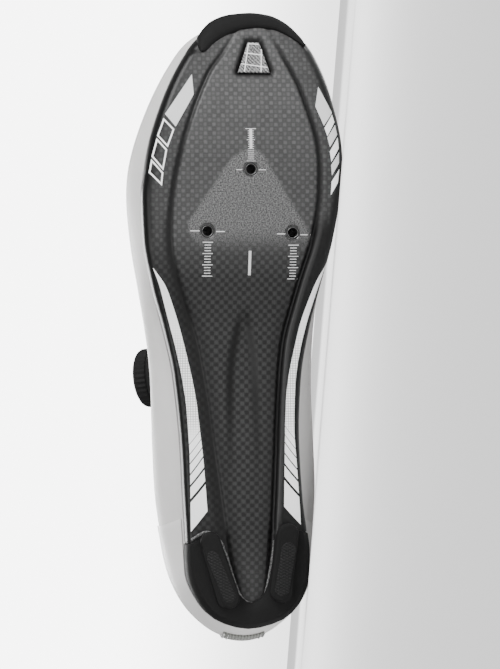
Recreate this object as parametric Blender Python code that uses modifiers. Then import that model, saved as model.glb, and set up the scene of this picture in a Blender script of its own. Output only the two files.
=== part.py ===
"""Road cycling shoe for the right foot, lying empty on its inner side.

The shoe is worked out upright in its own frame: x runs from heel to toe, y to the
inner side, z up from the ground that heel lugs and forefoot share. An empty then
lays it on its inner side, so that the sole faces -Y and the outer side faces up.
"""
import math
from collections import namedtuple

import bmesh
import bpy
from mathutils import Matrix, Vector

# Driving dimensions, in metres
LENGTH = 0.286
BALL_WIDTH = 0.1007
INSTEP_HEIGHT = 0.084
HEEL_HEIGHT = 0.068
TOE_SPRING = 0.0165
ARCH_RISE = 0.0125
HEEL_STEP = 0.008
RIM_RISE = 0.0095
BULGE_HEIGHT = 0.030
SHELL = 0.004
RIM_WALL = 0.0014
WALL = 0.0022
GAP = 0.0003
SEAT = 0.0005
GROOVE_DEPTH = 0.0013
GROOVE_WIDTH = 0.0044
TROUGH_DEPTH = 0.0024
TROUGH_WIDTH = 0.0146
TROUGH_SHIFT = -0.0023
EDGE_ROUND = 0.0042
MARGIN = 0.011
INSOLE_THICK = 0.0035
TONGUE_THICK = 0.003
TONGUE_CLEAR = 0.0012
TONGUE_CROWN = 0.1
TOE_BUMPER_WALL = 0.0032
HEEL_PAD = 0.0042
INSERT_RADIUS = 0.0032
INSERT_BORE = 0.0023
VENT_THICK = 0.0014
VENT_SUNK = 0.0008
TAB_WIDTH = 0.0187
TAB_THICK = 0.001
DIAL_RADIUS = 0.0137
DIAL_HEIGHT = 0.0070
DIAL_BASE_RADIUS = 0.0152
DIAL_BASE_HEIGHT = 0.0030
WIRE_RADIUS = 0.0006
GUIDE_LENGTH = 0.009
GUIDE_WIDTH = 0.0080
GUIDE_HEIGHT = 0.0034
GUIDE_ROOF = 0.0010
GUIDE_LEG = 0.0021
# How deep the sole's edge is worn flat, and the soft upper pressed flat, on the floor
EDGE_FLAT = 0.0004
PRESS = 0.0013
# Heel bumper: how far it stands over the shell's rim, and how its tread is rounded
RIM_OVER = 0.0006
RIM_UNDER = 0.0005
TREAD_ROUND = 0.0028
TREAD_SIDE = 0.0025
TREAD_BREAK = 0.0006
INSIDE_ROUND = 0.0022
INSIDE_DROP = 0.0004
LUG_ROOT = 0.0015
LUG_TAPER = 0.86
# Where the footbed and the tongue keep clear of the wall
INSOLE_CLEAR = 0.0012
TONGUE_SLIM = 0.07
TONGUE_LIFT = 0.26
# How far cutters reach past the solids that they cut
REACH = 0.010
REACH_UP = 0.060
WINDOW_REACH = 0.004
SEAT_REACH = 0.006
KNOB_EDGE = 0.0012
KNOB_SHOULDER = 0.0032
KNOB_FOOT = 0.0006
CORNER_SHARE = 0.7

AROUND = 76
SOLE_SECTIONS = 35
SKIP_TURN = 0.0526
STEP_ANGLE = 0.01
STEP_LEVEL = 0.01

# Plan outlines: along is a share of LENGTH, both sides are shares of BALL_WIDTH
Outline = namedtuple("Outline", "along outer inner")
SOLE = (
    Outline(0.0217, 0.000, 0.000), Outline(0.0409, 0.163, 0.172), Outline(0.0647, 0.226, 0.235),
    Outline(0.1126, 0.281, 0.279), Outline(0.1605, 0.283, 0.273), Outline(0.2320, 0.294, 0.249),
    Outline(0.3278, 0.308, 0.235), Outline(0.4231, 0.335, 0.249), Outline(0.4948, 0.380, 0.281),
    Outline(0.5668, 0.439, 0.326), Outline(0.6384, 0.480, 0.375), Outline(0.7100, 0.488, 0.412),
    Outline(0.7343, 0.480, 0.421), Outline(0.7822, 0.458, 0.417), Outline(0.8538, 0.394, 0.380),
    Outline(0.9255, 0.294, 0.308), Outline(0.9577, 0.226, 0.253), Outline(0.9900, -0.035, 0.035),
)
BULGE = (
    Outline(0.0000, 0.000, 0.000), Outline(0.0217, 0.172, 0.159), Outline(0.0647, 0.283, 0.276),
    Outline(0.1126, 0.342, 0.322), Outline(0.1605, 0.371, 0.333), Outline(0.2320, 0.403, 0.342),
    Outline(0.3278, 0.417, 0.331), Outline(0.4231, 0.426, 0.317), Outline(0.4948, 0.453, 0.322),
    Outline(0.5668, 0.489, 0.345), Outline(0.6384, 0.525, 0.394), Outline(0.7100, 0.543, 0.448),
    Outline(0.7343, 0.543, 0.457), Outline(0.7822, 0.516, 0.444), Outline(0.8538, 0.444, 0.412),
    Outline(0.9255, 0.335, 0.340), Outline(0.9577, 0.262, 0.281), Outline(0.9900, -0.035, 0.035),
)
# Heights along the shoe: each column is a share of the size that it is named for
Profile = namedtuple("Profile", "along spring arch heel rim bulge")
PROFILE = (
    Profile(0.000, 0.00, 0.00, 1.04, 1.20, 1.16), Profile(0.042, 0.00, 0.00, 1.02, 1.12, 1.20),
    Profile(0.140, 0.00, 0.00, 1.00, 1.05, 1.26), Profile(0.300, 0.00, 0.10, 0.90, 1.00, 1.24),
    Profile(0.367, 0.00, 0.62, 0.40, 1.00, 1.20), Profile(0.423, 0.00, 1.00, 0.00, 1.00, 1.14),
    Profile(0.500, 0.00, 0.86, 0.00, 1.00, 1.06), Profile(0.555, 0.00, 0.50, 0.00, 1.00, 1.03),
    Profile(0.600, 0.00, 0.17, 0.00, 1.00, 1.01),
    Profile(0.638, 0.00, 0.00, 0.00, 1.00, 1.00), Profile(0.768, 0.00, 0.00, 0.00, 1.00, 0.98),
    Profile(0.822, 0.10, 0.00, 0.00, 1.00, 0.97), Profile(0.874, 0.31, 0.00, 0.00, 0.98, 0.97),
    Profile(0.927, 0.58, 0.00, 0.00, 0.95, 0.98), Profile(0.976, 0.88, 0.00, 0.00, 0.92, 1.00),
    Profile(1.000, 1.05, 0.00, 0.00, 0.90, 1.01),
)
# Grooves beside the middle panel of the sole, as shares of LENGTH, BALL_WIDTH, GROOVE_DEPTH
Groove = namedtuple("Groove", "along outer inner depth")
GROOVES = (
    Groove(0.020, 0.030, 0.040, 0.0), Groove(0.100, 0.053, 0.084, 0.3), Groove(0.220, 0.122, 0.113, 0.6),
    Groove(0.288, 0.161, 0.123, 0.8), Groove(0.357, 0.175, 0.124, 0.9), Groove(0.434, 0.214, 0.136, 1.0),
    Groove(0.507, 0.278, 0.175, 1.0), Groove(0.550, 0.302, 0.208, 1.0), Groove(0.602, 0.347, 0.237, 1.0),
    Groove(0.654, 0.358, 0.280, 1.0), Groove(0.706, 0.354, 0.312, 1.0), Groove(0.759, 0.335, 0.318, 1.0),
    Groove(0.810, 0.288, 0.290, 1.0), Groove(0.855, 0.237, 0.240, 1.0), Groove(0.906, 0.159, 0.186, 0.9),
    Groove(0.941, 0.086, 0.128, 0.7), Groove(0.985, 0.030, 0.075, 0.0),
)
Trough = namedtuple("Trough", "along depth")
TROUGH = (
    Trough(0.00, 0.0), Trough(0.22, 0.0), Trough(0.30, 0.7), Trough(0.36, 1.0),
    Trough(0.46, 1.0), Trough(0.51, 0.6), Trough(0.55, 0.0), Trough(1.00, 0.0),
)
# Collar and throat edge, from heel (turn 0) to the throat's front end (turn 1): along is a share
# of LENGTH, the sides of BALL_WIDTH, the height adds shares of HEEL_HEIGHT and INSTEP_HEIGHT,
# and full says how round the wall below it is
TopLine = namedtuple("TopLine", "turn along outer inner heel instep full")
TOP_LINE = (
    TopLine(0.00, 0.017, 0.000, 0.000, 1.000, 0.000, 1.70),
    TopLine(0.10, 0.026, 0.110, 0.105, 0.988, 0.000, 1.70),
    TopLine(0.20, 0.075, 0.205, 0.190, 0.865, 0.040, 1.60),
    TopLine(0.30, 0.165, 0.255, 0.235, 0.600, 0.204, 1.50),
    TopLine(0.40, 0.275, 0.262, 0.240, 0.350, 0.427, 1.45),
    TopLine(0.47, 0.355, 0.230, 0.205, 0.100, 0.749, 1.40),
    TopLine(0.53, 0.415, 0.180, 0.155, 0.000, 0.945, 1.35),
    TopLine(0.62, 0.490, 0.155, 0.135, 0.000, 0.950, 1.28),
    TopLine(0.74, 0.570, 0.145, 0.125, 0.000, 0.875, 1.28),
    TopLine(0.86, 0.640, 0.115, 0.110, 0.000, 0.800, 1.45),
    TopLine(0.94, 0.672, 0.060, 0.068, 0.000, 0.765, 1.65),
    TopLine(1.00, 0.682, -0.005, 0.005, 0.000, 0.752, 1.75),
)
# Levels of the upper: 0 inner edge of its margin, 1 corner, 2 sole rim, 3 widest, 4 top edge
LEVELS = (0.0, 1.0, 1.6, 2.0, 2.35, 2.7, 3.0, 3.2, 3.36, 3.52, 3.68, 3.84, 4.0)
# Inner edge of the toe bumper in plan, as shares of LENGTH and BALL_WIDTH
Spot = namedtuple("Spot", "along across")
TOE_EDGE = (
    Spot(0.9375, -0.205), Spot(0.945, -0.172), Spot(0.9615, -0.099), Spot(0.971, -0.027),
    Spot(0.974, 0.055), Spot(0.971, 0.122), Spot(0.9625, 0.181), Spot(0.949, 0.238),
)
# Heel bumper, from its outer front end round the heel to its inner front end
Horseshoe = namedtuple("Horseshoe", "edge_along edge_across inside_along inside_across")
HORSESHOE = (
    Horseshoe(0.158, -0.284, 0.1700, -0.200), Horseshoe(0.140, -0.285, 0.1640, -0.145),
    Horseshoe(0.108, -0.277, 0.1320, -0.109), Horseshoe(0.066, -0.229, 0.1007, -0.077),
    Horseshoe(0.036, -0.140, 0.0755, -0.038), Horseshoe(0.0225, 0.000, 0.0655, 0.006),
    Horseshoe(0.034, 0.140, 0.0730, 0.052), Horseshoe(0.066, 0.238, 0.0960, 0.086),
    Horseshoe(0.108, 0.277, 0.1280, 0.104), Horseshoe(0.145, 0.278, 0.1700, 0.118),
    Horseshoe(0.176, 0.268, 0.1880, 0.165),
)
# Raised lugs under the heel: both ends of the lug's middle line and its width
Lug = namedtuple("Lug", "rear_along rear_across front_along front_across width")
LUGS = (
    Lug(0.072, -0.118, 0.150, -0.186, 0.073), Lug(0.080, 0.150, 0.172, 0.172, 0.080),
)
LUG_DEPTH = HEEL_STEP - GAP - HEEL_PAD
Hole = namedtuple("Hole", "name along across")
CLEAT_HOLES = (
    Hole("cleat_insert_front", 0.7497, 0.000), Hole("cleat_insert_outer", 0.6521, -0.195),
    Hole("cleat_insert_inner", 0.6500, 0.188),
)
# The vent under the toes: a window that narrows to the front
TOE_START = 0.858
TOE_END = 1.126
BUMPER_PROUD = 0.0006
CLEAR_OF_ALL = 0.03
VENT_REAR = 0.9040
VENT_FRONT = 0.9520
VENT_MIDDLE = 0.024
VENT_REAR_HALF = 0.072
VENT_FRONT_HALF = 0.026

Paint = namedtuple("Paint", "name colour roughness metallic")
CARBON = Paint("carbon_shell", (0.05, 0.05, 0.052, 1), 0.3, 0.0)
RUBBER = Paint("black_rubber", (0.02, 0.02, 0.02, 1), 0.7, 0.0)
MESH = Paint("vent_mesh_grey", (0.18, 0.18, 0.18, 1), 0.7, 0.0)
UPPER_SKIN = Paint("pale_upper", (0.68, 0.66, 0.65, 1), 0.5, 0.0)
LINING = Paint("dark_fabric", (0.08, 0.08, 0.085, 1), 0.9, 0.0)
TAPE = Paint("grey_tape", (0.42, 0.42, 0.42, 1), 0.4, 0.0)
DIAL_BLACK = Paint("dial_black", (0.03, 0.03, 0.03, 1), 0.4, 0.0)
STEEL = Paint("steel", (0.55, 0.55, 0.55, 1), 0.3, 1.0)


def curve_through(keys, values, at):
    """Reads a smooth curve through the values at their keys; it never overshoots them."""
    at = min(max(at, keys[0]), keys[-1])
    last = len(keys) - 1
    spot = 0
    while spot < last - 1 and at > keys[spot + 1]:
        spot += 1
    spans = [keys[i + 1] - keys[i] for i in range(last)]
    rises = [(values[i + 1] - values[i]) / spans[i] for i in range(last)]

    def slope(i):
        if i == 0:
            return rises[0]
        if i == last:
            return rises[-1]
        if rises[i - 1] * rises[i] <= 0:
            return 0.0
        return 2 * rises[i - 1] * rises[i] / (rises[i - 1] + rises[i])

    width = spans[spot]
    u = (at - keys[spot]) / width
    start, end = values[spot], values[spot + 1]
    ease = u * u * (3 - 2 * u)
    return (start + (end - start) * ease
            + width * slope(spot) * u * (1 - u) ** 2
            - width * slope(spot + 1) * u * u * (1 - u))


def column(rows, name, at, key="along"):
    """Reads one named column of a table at a place of its key column."""
    return curve_through([getattr(row, key) for row in rows], [getattr(row, name) for row in rows], at)


def plan_point(rows, angle):
    """A point of a closed plan outline: angle 0 at the heel, pi at the toe, outer side first."""
    angle = angle % (2 * math.pi)
    outer = angle <= math.pi
    turn = angle if outer else 2 * math.pi - angle
    first, last = rows[0].along, rows[-1].along
    keys = [math.acos(1 - 2 * (row.along - first) / (last - first)) for row in rows]
    share = (1 - math.cos(turn)) / 2
    side = [(-row.outer if outer else row.inner) for row in rows]
    return Vector(((first + (last - first) * share) * LENGTH, curve_through(keys, side, turn) * BALL_WIDTH))


def plan_outward(rows, angle):
    """The direction in plan that points out of an outline."""
    step = plan_point(rows, angle + STEP_ANGLE) - plan_point(rows, angle - STEP_ANGLE)
    return Vector((step.y, -step.x)).normalized()


def plan_inset(rows, angle, inset):
    """A point of an outline, moved inwards."""
    return plan_point(rows, angle) - plan_outward(rows, angle) * inset


def bottom_at(x):
    """Height of the sole's underside along the shoe."""
    along = x / LENGTH
    return (TOE_SPRING * column(PROFILE, "spring", along) + ARCH_RISE * column(PROFILE, "arch", along)
            + HEEL_STEP * column(PROFILE, "heel", along))


def floor_at(x):
    """Height of the sole's inside floor."""
    return bottom_at(x) + SHELL


def rim_at(x):
    """Height of the sole's rim."""
    return bottom_at(x) + RIM_RISE * column(PROFILE, "rim", x / LENGTH)


def bulge_at(x):
    """Height at which the upper is widest."""
    return BULGE_HEIGHT * column(PROFILE, "bulge", x / LENGTH)


def side_of(rows, x, outer):
    """How far an outline lies from the middle line at one station."""
    first, last = rows[0].along, rows[-1].along
    share = min(max((x / LENGTH - first) / (last - first), 0.0), 1.0)
    turn = math.acos(1 - 2 * share)
    return abs(plan_point(rows, turn if outer else 2 * math.pi - turn).y)


def find_floor():
    """The plane that the shoe lies on: a line along the sole's inner edge, and its lean."""
    stations = [LENGTH * (0.04 + 0.005 * i) for i in range(180)]
    heel = [x for x in stations if x < 0.3 * LENGTH]
    ball = [x for x in stations if x > 0.6 * LENGTH]
    pitch = 0.0
    for _ in range(6):
        heel_x = max(heel, key=lambda x: side_of(SOLE, x, False) - pitch * x)
        ball_x = max(ball, key=lambda x: side_of(SOLE, x, False) - pitch * x)
        rise = side_of(SOLE, ball_x, False) - side_of(SOLE, heel_x, False)
        pitch = rise / (ball_x - heel_x)
    edge = Vector((ball_x, side_of(SOLE, ball_x, False) - EDGE_FLAT, rim_at(ball_x)))
    heel_edge = Vector((heel_x, side_of(SOLE, heel_x, False) - EDGE_FLAT, rim_at(ball_x)))
    bulge = Vector((ball_x, side_of(BULGE, ball_x, False) - PRESS, bulge_at(ball_x)))
    normal = (bulge - edge).cross(heel_edge - edge).normalized()
    if normal.y < 0:
        normal.negate()
    return edge, normal


FLOOR_SPOT, FLOOR_NORMAL = find_floor()


def pressed(point):
    """A point of the shoe, held back by the floor that it lies on."""
    beyond = (point - FLOOR_SPOT).dot(FLOOR_NORMAL)
    return point - FLOOR_NORMAL * max(beyond, 0.0)


def upper_outside(angle, level):
    """The outside of the upper at an angle round the foot and a level of its wall."""
    angle = angle % (2 * math.pi)
    outer = angle <= math.pi
    turn = (angle if outer else 2 * math.pi - angle) / math.pi
    tuck = RIM_WALL + GAP
    rim_plan = plan_inset(SOLE, angle, tuck)
    rim = Vector((rim_plan.x, rim_plan.y, rim_at(rim_plan.x)))
    if level <= 2:
        corner_plan = plan_inset(SOLE, angle, tuck + EDGE_ROUND * CORNER_SHARE)
        corner = Vector((corner_plan.x, corner_plan.y, floor_at(corner_plan.x) + SEAT))
        if level >= 1:
            return pressed(corner.lerp(rim, level - 1))
        edge_plan = plan_inset(SOLE, angle, tuck + MARGIN)
        edge = Vector((edge_plan.x, edge_plan.y, floor_at(edge_plan.x) + SEAT))
        return edge.lerp(corner, level)
    wide_plan = plan_point(BULGE, angle)
    wide = Vector((wide_plan.x, wide_plan.y, bulge_at(wide_plan.x)))
    if level <= 3:
        share = level - 2
        out = 1 - (1 - share) ** 1.8
        point = rim.lerp(wide, out)
        point.z = rim.z + (wide.z - rim.z) * share
        return pressed(point)
    across = -column(TOP_LINE, "outer", turn, "turn") if outer else column(TOP_LINE, "inner", turn, "turn")
    height = (column(TOP_LINE, "heel", turn, "turn") * HEEL_HEIGHT
              + column(TOP_LINE, "instep", turn, "turn") * INSTEP_HEIGHT)
    top = Vector((column(TOP_LINE, "along", turn, "turn") * LENGTH, across * BALL_WIDTH, height))
    power = 2 / column(TOP_LINE, "full", turn, "turn")
    swing = (level - 3) * math.pi / 2
    point = wide.lerp(top, 1 - math.cos(swing) ** power)
    point.z = wide.z + (top.z - wide.z) * math.sin(swing) ** power
    return pressed(point)


def upper_outward(angle, level):
    """The direction that points straight out of the upper."""
    low, high = max(level - STEP_LEVEL, 0.0), min(level + STEP_LEVEL, 4.0)
    along = upper_outside(angle + STEP_ANGLE, level) - upper_outside(angle - STEP_ANGLE, level)
    up = upper_outside(angle, high) - upper_outside(angle, low)
    return up.cross(along).normalized() * -1


def make_material(paint):
    """A plain finish for one kind of part."""
    material = bpy.data.materials.get(paint.name) or bpy.data.materials.new(paint.name)
    material.use_nodes = True
    shader = material.node_tree.nodes["Principled BSDF"]
    shader.inputs["Base Color"].default_value = paint.colour
    shader.inputs["Roughness"].default_value = paint.roughness
    shader.inputs["Metallic"].default_value = paint.metallic
    return material


def add_object(name, mesh, collection, paint=None):
    """Puts a mesh in the shoe as a named object."""
    part = bpy.data.objects.new(name, mesh)
    collection.objects.link(part)
    part.parent = lay_down
    if paint:
        mesh.materials.append(make_material(paint))
    else:
        part.hide_render = True
        part.display_type = "WIRE"
    return part


def mesh_from(builder, name):
    """Turns a bmesh into a mesh whose faces point outwards."""
    bmesh.ops.remove_doubles(builder, verts=builder.verts, dist=0.00001)
    bmesh.ops.recalc_face_normals(builder, faces=builder.faces)
    mesh = bpy.data.meshes.new(name)
    builder.to_mesh(mesh)
    builder.free()
    return mesh


def skin(rings, name, wrap=False):
    """Lofts closed rings of points into a mesh; it ends in two caps or joins its own start."""
    builder = bmesh.new()
    rows = [[builder.verts.new(point) for point in ring] for ring in rings]
    count = len(rows[0])
    pairs = list(zip(rows, rows[1:])) + ([(rows[-1], rows[0])] if wrap else [])
    for first, second in pairs:
        for i in range(count):
            builder.faces.new((first[i], first[(i + 1) % count], second[(i + 1) % count], second[i]))
    if not wrap:
        builder.faces.new(rows[0])
        builder.faces.new(rows[-1])
    return mesh_from(builder, name)


def cut(part, cutter, operation="DIFFERENCE"):
    """Adds a Boolean cut or union to a part."""
    change = part.modifiers.new(f"{operation.lower()}_{cutter.name}", "BOOLEAN")
    change.operation = operation
    change.solver = "EXACT"
    change.object = cutter


def strip(angles, levels, low, high, name):
    """A solid strip that follows the upper, from one height over its outside to another."""
    rings = []
    for angle in angles:
        walls = [(upper_outside(angle, level), upper_outward(angle, level)) for level in levels]
        rings.append([spot + out * high for spot, out in walls]
                     + [spot + out * low for spot, out in reversed(walls)])
    return skin(rings, name)


def spread(start, end, count):
    """Even steps from start to end."""
    return [start + (end - start) * i / (count - 1) for i in range(count)]


def half_section(x, outer):
    """Points across one half of the sole, from its rim to the middle: underside, then inside."""
    sign = -1 if outer else 1
    edge = side_of(SOLE, x, outer)
    low, rim, inside = bottom_at(x), rim_at(x), floor_at(x)
    groove = min(column(GROOVES, "outer" if outer else "inner", x / LENGTH) * BALL_WIDTH, edge * 0.72)
    depth = GROOVE_DEPTH * column(GROOVES, "depth", x / LENGTH)
    lip = min(GROOVE_WIDTH / 2, groove * 0.3)
    flank = (groove + lip + edge - EDGE_ROUND) / 2
    trough = min(TROUGH_WIDTH / 2, groove - lip) * 0.9
    under = [
        (edge, rim), (edge, low + (rim - low) * 0.62), (edge - EDGE_ROUND * 0.25, low + (rim - low) * 0.26),
        (max(edge - EDGE_ROUND, edge * 0.8), low + EDGE_ROUND * 0.18), (max(flank, groove + lip), low),
        (groove + lip, low), (groove + lip * 0.35, low + depth), (groove - lip * 0.35, low + depth),
        (groove - lip, low), (trough, low),
    ]
    above = [
        (edge - RIM_WALL, rim), (edge - RIM_WALL, low + (rim - low) * 0.75),
        (max(edge - EDGE_ROUND, edge * 0.7), inside), (edge * 0.35, inside),
    ]


    def place(pair):
        return pressed(Vector((x, sign * pair[0], pair[1])))

    return [place(pair) for pair in under], [place(pair) for pair in above]


def make_outsole(collection, cutters):
    """The stiff shell: a dish with a groove each side of its middle panel and a waist trough."""
    first, last = SOLE[0].along * LENGTH, SOLE[-1].along * LENGTH
    rings = []
    for turn in spread(SKIP_TURN, 1 - SKIP_TURN, SOLE_SECTIONS):
        x = first + (last - first) * (1 - math.cos(turn * math.pi)) / 2
        outer_under, outer_above = half_section(x, True)
        inner_under, inner_above = half_section(x, False)
        sunk = TROUGH_DEPTH * column(TROUGH, "depth", x / LENGTH)
        half = abs(outer_under[-1].y) * 0.45
        shift = TROUGH_SHIFT * min(sunk / TROUGH_DEPTH * 2, 1.0)
        low = bottom_at(x) + sunk
        middle = [Vector((x, -half + shift, low)), Vector((x, half + shift, low))]
        rings.append(outer_under + middle + inner_under[::-1] + inner_above + outer_above[::-1])
    outsole = add_object("outsole", skin(rings, "outsole"), collection, CARBON)
    for cutter in cutters:
        cut(outsole, cutter)
    return outsole


def toe_edge_at(share):
    """A point of the toe bumper's inner edge, from its outer end (0) to its inner end (1)."""
    keys = spread(0.0, 1.0, len(TOE_EDGE))
    x = curve_through(keys, [spot.along for spot in TOE_EDGE], share) * LENGTH
    return Vector((x, curve_through(keys, [spot.across for spot in TOE_EDGE], share) * BALL_WIDTH))


def toe_front_angle(share):
    """The angle round the sole that faces one place of the toe bumper."""
    return math.pi * (TOE_START + (TOE_END - TOE_START) * share)


def make_toe_zone(collection):
    """The space in front of the toe bumper's inner edge, which the shell leaves free."""
    rings = []
    for share in spread(0.0, 1.0, 25):
        edge = toe_edge_at(share)
        ahead = (plan_point(SOLE, toe_front_angle(share)) - edge).normalized() * CLEAR_OF_ALL
        far = edge + ahead
        rings.append([Vector((edge.x, edge.y, -CLEAR_OF_ALL)), Vector((far.x, far.y, -CLEAR_OF_ALL)),
                      Vector((far.x, far.y, 2 * CLEAR_OF_ALL)), Vector((edge.x, edge.y, 2 * CLEAR_OF_ALL))])
    return add_object("toe_zone", skin(rings, "toe_zone"), collection)


def toe_section(share):
    """One section of the toe bumper: its inner edge, its rounded front and its back on the upper."""
    edge = toe_edge_at(share)
    angle = toe_front_angle(share)
    thick = 0.25 + 0.75 * math.sin(math.pi * share) ** 0.6
    front = plan_point(SOLE, angle)
    out = plan_outward(SOLE, angle)
    sideways = Vector((out.x, out.y, 0))
    depth = (front - edge).length
    inside = edge + (front - edge).normalized() * SEAT
    shelf = front.lerp(edge, min(0.8, RIM_WALL * 2.6 / depth))
    low = bottom_at(front.x)
    wall = TOE_BUMPER_WALL * thick
    back, rim, corner = [upper_outside(angle, level) + upper_outward(angle, level) * GAP * 1.5
                         for level in (2.35, 2.0, 1.3)]
    rise = back.z - low

    def front_spot(proud, height):
        spot = front + out * wall * proud
        return Vector((spot.x, spot.y, low + rise * height))

    return [
        Vector((inside.x, inside.y, bottom_at(inside.x) - BUMPER_PROUD)),
        front_spot(-0.9, 0.02) - Vector((0, 0, BUMPER_PROUD)), front_spot(0.1, 0.14), front_spot(0.85, 0.45),
        front_spot(0.95, 0.75), back + sideways * wall * 0.35, back, rim, corner,
        Vector((shelf.x, shelf.y, floor_at(shelf.x) - GAP)),
        Vector((inside.x, inside.y, floor_at(inside.x) - GAP)),
    ]


def make_toe_bumper(collection):
    """The black rubber bumper round the front of the toe."""
    rings = [toe_section(share) for share in spread(0.02, 0.98, 23)]
    return add_object("toe_bumper", skin(rings, "toe_bumper"), collection, RUBBER)


def horseshoe_at(share):
    """Outer edge and inner edge of the heel bumper at one place round the heel."""
    keys = spread(0.0, 1.0, len(HORSESHOE))

    def read(name):
        return curve_through(keys, [getattr(row, name) for row in HORSESHOE], share)

    edge = Vector((read("edge_along") * LENGTH, read("edge_across") * BALL_WIDTH))
    inside = Vector((read("inside_along") * LENGTH, read("inside_across") * BALL_WIDTH))
    return edge, inside


def heel_section(share):
    """One section of the heel bumper: the wall round the shell and the pad under it."""
    edge, inside = horseshoe_at(share)
    inward = (inside - edge).normalized()
    span = (inside - edge).length
    tread = HEEL_STEP - GAP - HEEL_PAD
    rim = rim_at(edge.x)

    def place(distance, height):
        spot = edge + inward * distance
        return pressed(Vector((spot.x, spot.y, height)))

    def under_shell(distance):
        return place(distance, bottom_at((edge + inward * distance).x) - GAP)

    return [
        place(0, rim + RIM_OVER), place(0, tread + (rim - tread) * 0.45),
        place(TREAD_BREAK, tread + TREAD_SIDE), place(TREAD_ROUND, tread), place(span * 0.55, tread),
        place(span - INSIDE_ROUND, tread + INSIDE_DROP), place(span, tread + INSIDE_ROUND + INSIDE_DROP / 2),
        under_shell(span), under_shell(span * 0.66), under_shell(span * 0.33),
        under_shell(RIM_WALL), place(RIM_WALL, rim - RIM_UNDER),
    ]


def make_heel_zone(collection):
    """The space round the heel that the shell leaves free for the bumper."""
    rings = []
    for share in spread(0.0, 1.0, 27):
        edge, inside = horseshoe_at(share)
        inward = (inside - edge).normalized()
        span = (inside - edge).length + GAP
        near = edge + inward * (RIM_WALL + GAP)
        far = edge - inward * REACH
        under = [edge + inward * distance for distance in (RIM_WALL + GAP, span * 0.33, span * 0.66, span)]
        ring = [Vector((far.x, far.y, REACH_UP)), Vector((far.x, far.y, -REACH)),
                Vector((under[-1].x, under[-1].y, -REACH))]
        ring += [Vector((spot.x, spot.y, bottom_at(spot.x))) for spot in reversed(under)]
        ring.append(Vector((near.x, near.y, REACH_UP)))
        rings.append(ring)
    return add_object("heel_zone", skin(rings, "heel_zone"), collection)


def make_lug(row, collection):
    """One long raised lug, with round ends and a flat tread on the ground plane."""
    rear = Vector((row.rear_along * LENGTH, row.rear_across * BALL_WIDTH))
    front = Vector((row.front_along * LENGTH, row.front_across * BALL_WIDTH))
    builder = bmesh.new()
    bmesh.ops.create_cone(builder, cap_ends=True, segments=20, radius1=0.5, radius2=0.5, depth=1.0)
    radius = row.width * BALL_WIDTH / 2
    depth = LUG_DEPTH + LUG_ROOT
    reach = (front - rear).length / 2
    for vert in builder.verts:
        size = 2 * radius * (LUG_TAPER if vert.co.z < 0 else 1.0)
        ahead = reach if vert.co.x > 0 else -reach
        vert.co = Vector((vert.co.x * size + ahead, vert.co.y * size, (vert.co.z + 0.5) * depth))
    name = f"lug_{'outer' if row.rear_across < 0 else 'inner'}"
    lug = add_object(name, mesh_from(builder, name), collection)
    middle = (rear + front) / 2
    lug.location = (middle.x, middle.y, 0)
    lug.rotation_euler.z = math.atan2(front.y - rear.y, front.x - rear.x)
    return lug


def make_heel_bumper(collection, cutters):
    """The horseshoe of black rubber under and round the heel."""
    rings = [heel_section(share) for share in spread(0.006, 0.994, 27)]
    bumper = add_object("heel_bumper", skin(rings, "heel_bumper"), collection, RUBBER)
    for row in LUGS:
        cut(bumper, make_lug(row, cutters), "UNION")
    return bumper


def vent_rings(grow, low, high, steps=5):
    """Sections of the vent window, grown by a margin, between two heights over the underside."""
    rear, front = VENT_REAR * LENGTH - grow, VENT_FRONT * LENGTH + grow
    rings = []
    for x in spread(rear, front, steps):
        share = (x - rear) / (front - rear)
        half = (VENT_REAR_HALF + (VENT_FRONT_HALF - VENT_REAR_HALF) * share) * BALL_WIDTH + grow
        middle = VENT_MIDDLE * BALL_WIDTH
        base = bottom_at(x)
        rings.append([Vector((x, middle - half, base + low)), Vector((x, middle + half, base + low)),
                      Vector((x, middle + half, base + high)), Vector((x, middle - half, base + high))])
    return rings


def make_vent(collection, cutters):
    """The mesh plate in the vent, and the window that it fits."""
    plate = skin(vent_rings(-GAP / 2, VENT_SUNK, VENT_SUNK + VENT_THICK), "vent_mesh")
    add_object("vent_mesh", plate, collection, MESH)
    window = skin(vent_rings(GAP / 2, -WINDOW_REACH, SHELL + WINDOW_REACH, 2), "vent_window")
    return add_object("vent_window", window, cutters)


def make_cylinder(name, collection, radius, low, high, at, paint=None, segments=16):
    """An upright cylinder."""
    builder = bmesh.new()
    bmesh.ops.create_cone(builder, cap_ends=True, segments=segments, radius1=radius, radius2=radius,
                          depth=high - low)
    part = add_object(name, mesh_from(builder, name), collection, paint)
    part.location = (at.x, at.y, (low + high) / 2)
    return part


def make_inserts(collection, cutters):
    """Three threaded steel inserts for a cleat, and their holes in the shell."""
    holes = []
    for hole in CLEAT_HOLES:
        at = Vector((hole.along * LENGTH, hole.across * BALL_WIDTH))
        low = bottom_at(at.x) + GAP
        insert = make_cylinder(hole.name, collection, INSERT_RADIUS, low, low + SHELL - 2 * GAP, at, STEEL)
        bore = make_cylinder(f"bore_{hole.name}", cutters, INSERT_BORE, low - REACH, low + REACH, at)
        cut(insert, bore)
        wide = INSERT_RADIUS + GAP
        holes.append(make_cylinder(f"hole_{hole.name}", cutters, wide, low - REACH, low + REACH, at))
    return holes


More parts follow.
